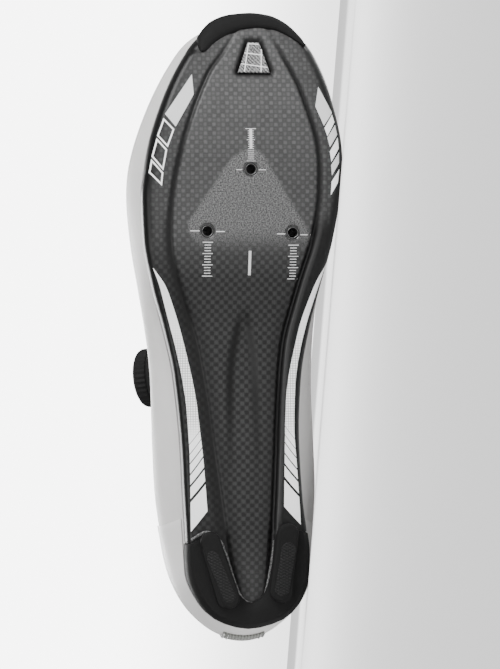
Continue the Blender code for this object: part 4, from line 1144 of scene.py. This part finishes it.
def make_bumpers():
    """The two rubber bumpers, the hatched treads and a pale bead along the heel's horseshoe, painted as its
    edge's highlight.
    """
    rubber = rubber_paint("black_rubber_skin", 0.0075)
    make_toe_bumper(rubber)
    refined("heel_bumper", rubber, bevel=0.45 * MM, sharp=40)
    hatch = hatch_paint()
    for side, lug, pad in zip(("outer", "inner"), LUGS, HATCHED_PADS):
        piece(f"tread_lug_{side}", laid(rounded_pad(lug, LUG_RINGS)), rubber, sharp=60)
        piece(f"hatched_tread_{side}", laid(rounded_pad(pad, HATCH_RINGS)), hatch, sharp=60)
    # The pale bead is a painted highlight, laid just off the horseshoe's edge
    line = [under_sole(*from_picture(*spot), EDGE_OFF) for spot in EDGE_LINE]
    tube("horseshoe_edge_highlight", line, EDGE_RADIUS, edge_paint())


def edge_paint():
    """A pale bead on the heel rubber's edge, painted as a highlight where the edge catches light, patchy by
    noise.
    """
    paint = Paint("rubber_edge_highlight", rough=0.6, gloss=0.2)
    wire = paint.wire
    patchy_highlight = wire.ramp(wire.noise(paint.place, 1.1, 3.0, 0.8), 0.36, 0.66)
    paint.colour(wire.blend(patchy_highlight, grey(0.025), grey(0.19)))
    return paint.material


def tube(name, points, radius, paint, stands_for=(), sides=8, smooth=5, closed=False):
    """A round tube through some points of the shoe's frame, which may be a closed ring."""
    data = bpy.data.curves.new(name, "CURVE")
    data.dimensions = "3D"
    data.bevel_depth = radius
    data.bevel_resolution = max(sides // 4 - 1, 1)
    data.use_fill_caps = True
    spline = data.splines.new("POLY")
    spline.use_cyclic_u = closed
    route = rounded([LAY @ point for point in points], smooth, closed)
    spline.points.add(len(route) - 1)
    for spot, point in zip(spline.points, route):
        spot.co = (*point, 1)
    made = added(name, data)
    graph = bpy.context.evaluated_depsgraph_get()
    mesh = bpy.data.meshes.new_from_object(made.evaluated_get(graph))
    bpy.data.objects.remove(made)
    builder = bmesh.new()
    builder.from_mesh(mesh)
    bpy.data.meshes.remove(mesh)
    return piece(name, builder, paint, stands_for, 60)


def rounded(route, parts, closed=False):
    """A smooth curve through the route's points."""
    count = len(route)
    points = []
    for i in range(count if closed else count - 1):
        numbers = [k % count if closed else min(max(k, 0), count - 1) for k in range(i - 1, i + 3)]
        before, start, end, after = (route[k] for k in numbers)
        lead = (end - before) / 6
        trail = (after - start) / 6
        for j in range(parts):
            u = j / parts
            points.append(start * (1 - u) ** 3 + (start + lead) * 3 * u * (1 - u) ** 2
                          + (end - trail) * 3 * u * u * (1 - u) + end * u ** 3)
    return points if closed else points + [route[-1]]


VENT_SUNK = 0.8 * MM
VENT_TURN = 3.6
VENT_WALL = 1.2 * MM
VENT_LINES = (
    ((122.6, 44.8), (117.6, 73.2), 0.55), ((135.2, 50.4), (134.2, 73.2), 0.55),
    ((122.4, 44.8), (132.6, 45.4), 0.55), ((118.4, 54.2), (136.2, 56.4), 0.55),
    ((114.6, 65.3), (140.6, 68.8), 0.55),
)


def make_vent():
    """The gritty mesh in the toe vent, with its pale ribs."""
    paint = Paint("vent_grit_mesh", rough=0.7, gloss=0.25)
    wire = paint.wire
    speck = wire.noise(paint.place, 1.5, 3.0, 0.8)
    parts = wire.add("ShaderNodeSeparateXYZ", Vector=paint.place)
    lean = wire.math("ADD", parts.outputs[0], parts.outputs[1])
    slant = wire.math("SINE", wire.times(lean, VENT_TURN))
    mesh = wire.math("ADD", wire.times(slant, 0.07), speck)
    paint.colour(wire.blend(wire.ramp(mesh, 0.36, 0.70), grey(0.03), grey(0.34)))
    paint.relief(mesh, 0.0003, 0.8)

    def place(u, v):
        row = VENT_ROWS[0] + (VENT_ROWS[1] - VENT_ROWS[0]) * u
        left, right = vent_sides(u)
        spot = from_picture(left + (right - left) * v, row)
        return Vector((spot.x, spot.y, bottom_at(spot.x) + VENT_SUNK))

    builder = facing_out(sheet_of(30, 30, place))
    thicken(piece("vent_mesh_sheet", laid(builder), paint.material, ("vent_mesh",)), VENT_WALL)
    ribs = mottled("vent_rib", 1.5, 0.62, 0.92, rough=0.5, gloss=0.3)
    parts = []
    for start, end, half in VENT_LINES:
        first, second = Vector(start), Vector(end)
        across = (second - first).normalized()
        across = Vector((-across.y, across.x)) * half

        def spot(u, v, first=first, second=second, across=across):
            at = from_picture(*(first.lerp(second, u) + across * (2 * v - 1)))
            lift = 0.25 * MM + 0.14 * MM * math.sin(math.pi * v)
            return Vector((at.x, at.y, bottom_at(at.x) + VENT_SUNK - lift))

        parts.append(sheet_of(5, 16, spot))
    piece("vent_ribs", laid(facing_out(merged(*parts))), ribs)


INSERT_RADIUS = 3.2 * MM
INSERT_BORE = 2.15 * MM
INSERT_TALL = 3.4 * MM
THREAD_PITCH = 0.8 * MM
THREAD_START = 0.7 * MM
THREAD_DEEP = 0.28 * MM
INSERTS = (("cleat_insert_front", 0.7497, 0.000), ("cleat_insert_outer", 0.6521, -0.195),
           ("cleat_insert_inner", 0.6500, 0.188))


def turned(profile, steps, matrix):
    """A turned solid from its profile of radius and height, placed by a matrix."""
    builder = bmesh.new()
    verts = [builder.verts.new((radius, 0, height)) for radius, height in profile]
    edges = [builder.edges.new(pair) for pair in zip(verts, verts[1:])]
    bmesh.ops.spin(builder, geom=verts + edges, cent=(0, 0, 0), axis=(0, 0, 1), angle=2 * math.pi,
                   steps=steps, use_merge=True)
    bmesh.ops.remove_doubles(builder, verts=builder.verts, dist=0.000005)
    bmesh.ops.recalc_face_normals(builder, faces=builder.faces)
    bmesh.ops.transform(builder, matrix=matrix, verts=builder.verts)
    return builder


def ring_profile(radius):
    """A thin round-edged ring, standing a little proud."""
    turns = [math.radians(step * 45) for step in range(9)]
    return [(radius + 0.09 * MM * math.cos(turn), 0.16 * MM - 0.14 * MM * math.sin(turn)) for turn in turns]


def make_inserts():
    """Three threaded steel inserts with a chamfered mouth."""
    steel = mottled("insert_steel", 0.8, 0.02, 0.07, 3.0, rough=0.38, metal=0.9)
    bright = mottled("insert_rim_steel", 1.5, 0.16, 0.42, 3.0, rough=0.3, metal=0.9)
    thread = []
    for i in range(int(INSERT_TALL / THREAD_PITCH)):
        start = THREAD_START + i * THREAD_PITCH
        thread += [(INSERT_BORE, start), (INSERT_BORE + THREAD_DEEP, start + THREAD_PITCH / 2)]
    profile = [(INSERT_RADIUS, INSERT_TALL), (INSERT_RADIUS, 0.4 * MM), (INSERT_RADIUS - 0.1 * MM, 0.25 * MM),
               (INSERT_BORE + 0.3 * MM, 0.25 * MM), (INSERT_BORE, 0.5 * MM)]
    profile += thread + [(INSERT_BORE, INSERT_TALL), (INSERT_RADIUS, INSERT_TALL)]
    for name, along, across in INSERTS:
        at = Vector((along * LENGTH, across * BALL_WIDTH, bottom_at(along * LENGTH) + GAP))
        place = LAY @ Matrix.Translation(at)
        piece(f"{name}_thread", turned(profile, 40, place), steel, (name,), 30)
        radii = (INSERT_RADIUS, INSERT_BORE + 0.2 * MM)
        rims = merged(*[turned(ring_profile(radius), 40, place) for radius in radii])
        piece(f"{name}_rims", rims, bright, sharp=60)


# The upper and what it carries

def skin_paint(name, light, warm, grain_size=0.5, rough=0.46, bump=0.00005):
    """Pale coated microfibre with a soft grain and faint unevenness."""
    paint = Paint(name, rough=rough, gloss=0.35, sheen=0.08)
    wire = paint.wire
    grain = wire.group(GRAIN, Place=paint.place, Size=grain_size)
    base = wire.blend(grain.outputs["Patches"], grey(light * 0.93, warm), grey(light * 1.04, warm))
    paint.colour(wire.blend(wire.times(grain.outputs["Grain"], 0.10), base, grey(light * 0.7, warm)))
    paint.relief(grain.outputs["Grain"], bump, 0.5)
    return paint.material


def cloth_paint(name, light, cell=0.9, warm=0.0, holes=0.0):
    """Knitted lining cloth, with open cells where holes is over 0."""
    paint = Paint(name, rough=0.9, gloss=0.15, sheen=0.25)
    wire = paint.wire
    cells = wire.add("ShaderNodeTexVoronoi", Vector=paint.place, Scale=1 / cell, Randomness=0.9)
    near = wire.ramp(cells.outputs["Distance"], 0.10, 0.60)
    fuzz = wire.noise(paint.place, 3.0, 3.0, 0.7)
    base = wire.blend(near, grey(light * (1 - holes), warm), grey(light, warm))
    paint.colour(wire.blend(wire.times(fuzz, 0.35), base, grey(light * 0.5, warm)))
    paint.relief(wire.math("ADD", near, wire.times(fuzz, 0.4)), 0.00025, 0.8)
    return paint.material


def is_lining(face):
    """1 for faces on the inside of the upper, 0 for its outside."""
    spot = LAY.inverted() @ face.calc_center_median()
    normal = TURN.transposed() @ face.normal
    centre = Vector((min(max(spot.x, 0.12 * LENGTH), 0.86 * LENGTH), 0.0, 0.034))
    return 1 if normal.dot(spot - centre) < 0 else 0


PANEL_THICK = 0.4 * MM
PANEL_OFF = 0.1 * MM


def panel(name, place, along, across, paint, thick=PANEL_THICK):
    """A thin overlay on the upper, from a function that gives an angle and a level."""
    def on_upper(u, v):
        angle, level = place(u, v)
        return pressed(upper_outside(angle, level) + upper_outward(angle, level) * PANEL_OFF, thick)

    builder = sheet_of(across, along, on_upper)
    bmesh.ops.recalc_face_normals(builder, faces=builder.faces)
    middle = min(builder.faces, key=lambda face: (face.calc_center_median() - on_upper(0.5, 0.5)).length)
    if middle.normal.dot(upper_outward(*place(0.5, 0.5))) < 0:
        bmesh.ops.reverse_faces(builder, faces=builder.faces)
    bmesh.ops.transform(builder, matrix=LAY, verts=builder.verts)
    made = piece(name, builder, paint)
    thicken(made, thick, 1)
    edge = made.modifiers.new("soft_edge", "BEVEL")
    edge.width = thick * 0.4
    edge.segments = 2
    edge.limit_method = "ANGLE"
    edge.angle_limit = math.radians(50)


def stitches(name, spots, paint, long=1.5 * MM, thick=0.22 * MM):
    """Short raised threads; each spot gives a middle, a direction and an outward direction."""
    builder = bmesh.new()
    for middle, along, out in spots:
        along = along.normalized()
        side = out.cross(along).normalized()
        turn = Matrix((side, out, along)).transposed().to_4x4()
        spot = pressed(middle + out * thick * 0.4, thick * 1.2)
        bmesh.ops.create_cone(builder, cap_ends=True, segments=6, radius1=thick, radius2=thick, depth=long,
                              matrix=Matrix.Translation(spot) @ turn)
    return piece(name, laid(builder), paint, sharp=60)


def seam(place, count):
    """Evenly spaced stitch spots along a line on the upper."""
    spots = []
    for share in spread(0.0, 1.0, count):
        angle, level = place(share)
        ahead_angle, ahead_level = place(min(share + 0.004, 1.0))
        back_angle, back_level = place(max(share - 0.004, 0.0))
        along = upper_outside(ahead_angle, ahead_level) - upper_outside(back_angle, back_level)
        out = upper_outward(angle, level)
        spots.append((upper_outside(angle, level) + out * (PANEL_THICK + PANEL_OFF), along, out))
    return spots


# Overlays and seams, in levels of the upper and turns round it
OVERLAY_LOW, OVERLAY_TALL = 3.70, 0.245
HEEL_OVERLAY_LOW, HEEL_OVERLAY_TALL, HEEL_OVERLAY_DIP = 2.12, 1.60, 0.34
HEEL_OVERLAY_TURN = math.pi * 0.2817
HEEL_SEAM_TURN, HEEL_SEAM_LEVEL = math.pi * 0.27, 3.68
THROAT_SEAMS = (3.735, 3.90)
THROAT_STITCHES, HEEL_STITCHES = 110, 76


def make_upper():
    """The pale upper with its lining, overlays, seams, air holes and bound collar."""
    skin = skin_paint("pale_microfibre", 0.57, 0.014)
    lining = cloth_paint("dark_lining", 0.045, 1.1, holes=0.6)
    refined("upper", [skin, lining], levels=2, sort=is_lining)
    gloss = skin_paint("pale_overlay", 0.64, 0.012, 0.8, 0.34, 0.00003)

    def beside_throat(u, v):
        low = OVERLAY_LOW + 0.05 * math.sin(math.pi * u) * (1 - v)
        return math.pi * (0.53 + 0.94 * u), low + OVERLAY_TALL * v

    def round_heel(u, v):
        high = HEEL_OVERLAY_TALL - HEEL_OVERLAY_DIP * (2 * u - 1) ** 2
        return HEEL_OVERLAY_TURN * (2 * u - 1), HEEL_OVERLAY_LOW + high * v

    def heel_line(u):
        return HEEL_SEAM_TURN * (2 * u - 1), HEEL_SEAM_LEVEL - HEEL_OVERLAY_DIP * (2 * u - 1) ** 2

    panel("throat_overlay", beside_throat, 180, 8, gloss)
    panel("heel_overlay", round_heel, 70, 40, gloss)
    thread = skin_paint("pale_thread", 0.34, 0.01)
    rows = []
    for level in THROAT_SEAMS:
        rows += seam(lambda u, level=level: (math.pi * (0.545 + 0.91 * u), level), THROAT_STITCHES)
    stitches("throat_stitches", rows, thread)
    stitches("heel_stitches", seam(heel_line, HEEL_STITCHES), thread)
    make_air_holes()
    make_collar()


TOE_HOLES, TOE_HOLE_ROWS = 17, 6
SIDE_HOLES, SIDE_HOLE_ROWS = 12, 4
AIR_HOLE_RADIUS = 0.62 * MM


def make_air_holes():
    """Rows of small punched holes over the toes and on both sides."""
    dark = mottled("punched_hole", 1.0, 0.02, 0.06, rough=0.9, gloss=0.1)
    builder = bmesh.new()
    for row in range(TOE_HOLE_ROWS):
        count = TOE_HOLES - row
        for i in range(count):
            away = (i - (count - 1) / 2) * 0.0165
            punched(builder, math.pi * (1.0 + away), 3.22 + row * 0.075)
    for sign in (-1, 1):
        for row in range(SIDE_HOLE_ROWS):
            for i in range(SIDE_HOLES):
                away = 0.235 + (i + row % 2 * 0.5) * 0.014
                punched(builder, math.pi * (1.0 + sign * away), 3.26 + row * 0.07)
    piece("air_holes", laid(builder), dark)


def punched(builder, angle, level):
    """One small hole in the upper's skin."""
    out = upper_outward(angle, level)
    turn = out.to_track_quat("Z", "Y").to_matrix().to_4x4()
    spot = Matrix.Translation(upper_outside(angle, level) + out * 0.07 * MM) @ turn
    bmesh.ops.create_circle(builder, cap_ends=True, segments=10, radius=AIR_HOLE_RADIUS, matrix=spot)


COLLAR_RADIUS = 1.7 * MM
WALL = 2.2 * MM


def make_collar():
    """The soft binding that runs round the collar and down both sides of the throat."""
    binding = cloth_paint("collar_knit", 0.075, 0.8)
    points = []
    for angle in spread(-math.pi, math.pi, 120)[:-1]:
        out = upper_outward(angle, 3.97)
        points.append(pressed(upper_outside(angle, 4.0) - out * WALL / 2, COLLAR_RADIUS))
    tube("collar_binding", points, COLLAR_RADIUS, binding, sides=16, smooth=2, closed=True)


def frame_on_upper(angle, level):
    """A frame on the upper's outside: first axis along the shoe, third straight out."""
    spot = upper_outside(angle, level)
    out = upper_outward(angle, level)
    ahead = upper_outside(angle + STEP_ANGLE, level) - upper_outside(angle - STEP_ANGLE, level)
    ahead = (ahead - out * ahead.dot(out)).normalized()
    if ahead.x < 0:
        ahead.negate()
    turn = Matrix((ahead, out.cross(ahead), out)).transposed()
    return Matrix.Translation(spot) @ turn.to_4x4()


DIAL_ANGLE, DIAL_LEVEL = math.pi * 0.478, 3.52
DIAL_RADIUS = 13.7 * MM
DIAL_HEIGHT = 7.0 * MM
DIAL_BASE_HEIGHT = 3.0 * MM
DIAL_RIBS = 36
# The knob's profile: shares of its radius, with millimetres below its top and above its foot
KNOB_TOP = ((0.0, 0.5), (0.34, 0.5), (0.38, 0.1), (0.62, 0.0), (0.66, 0.45), (0.72, 0.45), (0.76, 0.1),
            (0.84, 0.3), (0.93, 1.1), (0.975, 2.4), (0.98, 4.0))
KNOB_FOOT = ((0.98, 1.0), (0.95, 0.2), (0.90, 0.0), (0.0, 0.0))


def make_dial():
    """The lace dial: a ribbed knob with a ring in its face, on its moulded base."""
    black = rubber_paint("dial_black_skin", 0.010)
    refined("dial_base", black, bevel=0.5 * MM, sharp=30)
    radius, tall = DIAL_RADIUS, DIAL_HEIGHT
    profile = [(radius * share, tall - drop * MM) for share, drop in KNOB_TOP]
    profile += [(radius * share, height * MM) for share, height in KNOB_FOOT]
    builder = turned(profile, DIAL_RIBS * 4, Matrix.Identity(4))
    for vert in builder.verts:
        away = math.hypot(vert.co.x, vert.co.y)
        if away > radius * 0.90:
            wave = math.cos(DIAL_RIBS * math.atan2(vert.co.y, vert.co.x))
            scale = 1 + 0.02 * wave * eased(radius * 0.90, radius * 0.97, away)
            vert.co.x, vert.co.y = vert.co.x * scale, vert.co.y * scale
    place = LAY @ frame_on_upper(DIAL_ANGLE, DIAL_LEVEL) @ Matrix.Translation((0, 0, DIAL_BASE_HEIGHT + GAP))
    bmesh.ops.transform(builder, matrix=place, verts=builder.verts)
    piece("dial_ribbed_knob", builder, black, ("dial_knob",), 32)


CHANNEL_TURN = 0.42
STITCH_TURN = 3.0
TAPE_TURN = 2.2
TAPE_SEAMS = (-8.3, -6.7, 6.7, 8.3)
TAPE_OUT = 1.35 * MM


def tongue_paint():
    """Padded knit with stitched channels across it."""
    paint = Paint("tongue_knit", rough=0.85, gloss=0.2, sheen=0.2)
    wire = paint.wire
    parts = wire.add("ShaderNodeSeparateXYZ", Vector=paint.place)
    bands = wire.ripple(parts.outputs[0], CHANNEL_TURN)
    channel = wire.ramp(bands, 0.02, 0.32)
    stitch = wire.ramp(wire.math("SINE", wire.times(parts.outputs[1], STITCH_TURN)), -0.2, 0.3)
    fuzz = wire.noise(paint.place, 1.1, 4.0, 0.7)
    knit = wire.blend(wire.ramp(fuzz, 0.3, 0.7), grey(0.30, 0.01), grey(0.44, 0.01))
    line = wire.blend(stitch, grey(0.14), grey(0.40))
    paint.colour(wire.blend(wire.ramp(bands, 0.03, 0.09), line, knit))
    paint.relief(wire.math("MULTIPLY_ADD", fuzz, 0.12, channel), 0.0008, 0.9)
    return paint.material


def make_soft_parts():
    """Tongue, footbed, heel tape, guides and wire."""
    tongue = refined("tongue", tongue_paint(), levels=2)
    refined("insole", cloth_paint("footbed_felt", 0.05, 0.8), bevel=0.6 * MM, sharp=40)
    guide = rubber_paint("guide_black", 0.010)
    for name in nodes:
        if name.startswith("wire_guide"):
            refined(name, guide, bevel=0.35 * MM, sharp=25)
    cable = Paint("wire_cable", rough=0.35, metal=0.85)
    wave = cable.wire.add("ShaderNodeTexWave", {"bands_direction": "DIAGONAL"}, Vector=cable.place, Scale=0.9)
    cable.colour(cable.wire.blend(wave.outputs["Fac"], grey(0.12), grey(0.42)))
    cable.relief(wave.outputs["Fac"], 0.0001, 0.8)
    refined("lace_wire", cable.material)
    make_tape()


def make_tape():
    """The ribbed grey tape up the heel, with its stitched sides."""
    paint = Paint("ribbed_tape", rough=0.6, gloss=0.3, sheen=0.2)
    wire = paint.wire
    parts = wire.add("ShaderNodeSeparateXYZ", Vector=paint.place)
    ribs = wire.ripple(parts.outputs[1], TAPE_TURN)
    rows = wire.ripple(parts.outputs[2], STITCH_TURN)
    knit = wire.times(ribs, wire.math("ADD", 0.6, wire.times(rows, 0.4)))
    paint.colour(wire.blend(knit, (0.085, 0.088, 0.080, 1), (0.205, 0.210, 0.192, 1)))
    paint.relief(knit, 0.0002, 0.8)
    refined("heel_tab", paint.material, bevel=0.25 * MM, sharp=40)
    spots = []
    for side in TAPE_SEAMS:
        angle = 0.0
        step = 0.01 if side < 0 else -0.01
        while abs(upper_outside(angle, 3.0).y) < abs(side) * MM:
            angle += step
        for level in spread(2.52, 3.86, 26):
            out = upper_outward(angle, level)
            up = upper_outside(angle, level + 0.02) - upper_outside(angle, level - 0.02)
            spots.append((upper_outside(angle, level) + out * TAPE_OUT, up, out))
    stitches("tape_stitches", spots, skin_paint("tape_thread", 0.55, 0.0))


# Camera, light and floor

VIEW_MIDDLE = (0.1400, 0.0, 0.004)
VIEW_DISTANCE = 1.6
FRAME_HEIGHT = 0.3017
CAMERA_HEIGHT = 0.007
SENSOR = 36.0


def set_camera():
    """Looks straight at the sole from just above the floor, with the toe up."""
    data = bpy.data.cameras.new("camera")
    camera = added("camera", data)
    middle = LAY @ Vector(VIEW_MIDDLE)
    away = -UPWARD
    at = middle + away * VIEW_DISTANCE
    at.z = max(at.z, CAMERA_HEIGHT)
    look = (middle - at).normalized()
    up = (AHEAD - look * AHEAD.dot(look)).normalized()
    right = look.cross(up)
    turn = Matrix((right, up, -look)).transposed().to_4x4()
    camera.matrix_world = Matrix.Translation(at) @ turn
    data.sensor_width = SENSOR
    data.lens = SENSOR * (middle - at).length / FRAME_HEIGHT
    data.clip_start = 0.01
    data.clip_end = 100.0
    bpy.context.scene.camera = camera


def add_light(name, at, aim, size, power):
    """A soft square light."""
    data = bpy.data.lights.new(name, "AREA")
    data.shape = "SQUARE"
    data.size = size
    data.energy = power
    light = added(name, data)
    light.location = at
    light.rotation_euler = (Vector(aim) - Vector(at)).to_track_quat("-Z", "Y").to_euler()


LIGHTS = table(
    "name at aim size power",
    ("toe_side_light", (0.85, -0.60, 0.60), (0.08, 0, 0.03), 0.6, 19),
    ("front_light", (-0.3, -0.9, 0.7), (0, 0, 0.04), 0.8, 8),
    ("back_light", (-0.2, 0.9, 0.8), (0, 0, 0.04), 0.6, 15),
)
FLOOR_HALF = 40.0
FLOOR_GLOW = 0.15
FLOOR_WHITE = 0.5
SKY = 0.42
WALL_FOOT, WALL_WHITE = 2.8, 7.0


def set_stage():
    """A pale floor and soft light all round."""
    builder = bmesh.new()
    bmesh.ops.create_grid(builder, x_segments=2, y_segments=2, size=FLOOR_HALF)
    mesh = bpy.data.meshes.new("floor")
    builder.to_mesh(mesh)
    builder.free()
    floor = added("floor", mesh)
    paint = bpy.data.materials.new("pale_floor")
    paint.use_nodes = True
    shader = paint.node_tree.nodes["Principled BSDF"]
    shader.inputs["Base Color"].default_value = (0.9, 0.9, 0.9, 1)
    shader.inputs["Roughness"].default_value = 0.9
    shader.inputs["Emission Color"].default_value = (1, 1, 1, 1)
    floor_wire = Wiring(paint.node_tree)
    glow = floor_wire.add("ShaderNodeLightPath").outputs["Is Camera Ray"]
    shade = floor_wire.math("MULTIPLY_ADD", glow, FLOOR_WHITE, FLOOR_GLOW)
    floor_wire.join(shader.inputs["Emission Strength"], shade)
    mesh.materials.append(paint)
    world = bpy.data.worlds.new("studio")
    world.use_nodes = True
    wire = Wiring(world.node_tree)
    seen = wire.add("ShaderNodeLightPath").outputs["Is Camera Ray"]
    direction = wire.add("ShaderNodeTexCoord").outputs["Generated"]
    height = wire.add("ShaderNodeSeparateXYZ", Vector=direction).outputs[2]
    wall = wire.math("MULTIPLY_ADD", wire.ramp(height, -0.002, 0.05), WALL_WHITE - WALL_FOOT, WALL_FOOT)
    background = world.node_tree.nodes["Background"]
    background.inputs["Color"].default_value = (1, 1, 1, 1)
    lit = wire.times(wire.math("SUBTRACT", 1.0, seen), SKY)
    wire.join(background.inputs["Strength"], wire.math("MULTIPLY_ADD", seen, wall, lit))
    bpy.context.scene.world = world
    for lamp in LIGHTS:
        add_light(*lamp)


set_camera()
set_stage()
make_shell()
make_prints()
make_bumpers()
make_vent()
make_inserts()
make_upper()
make_dial()
make_soft_parts()
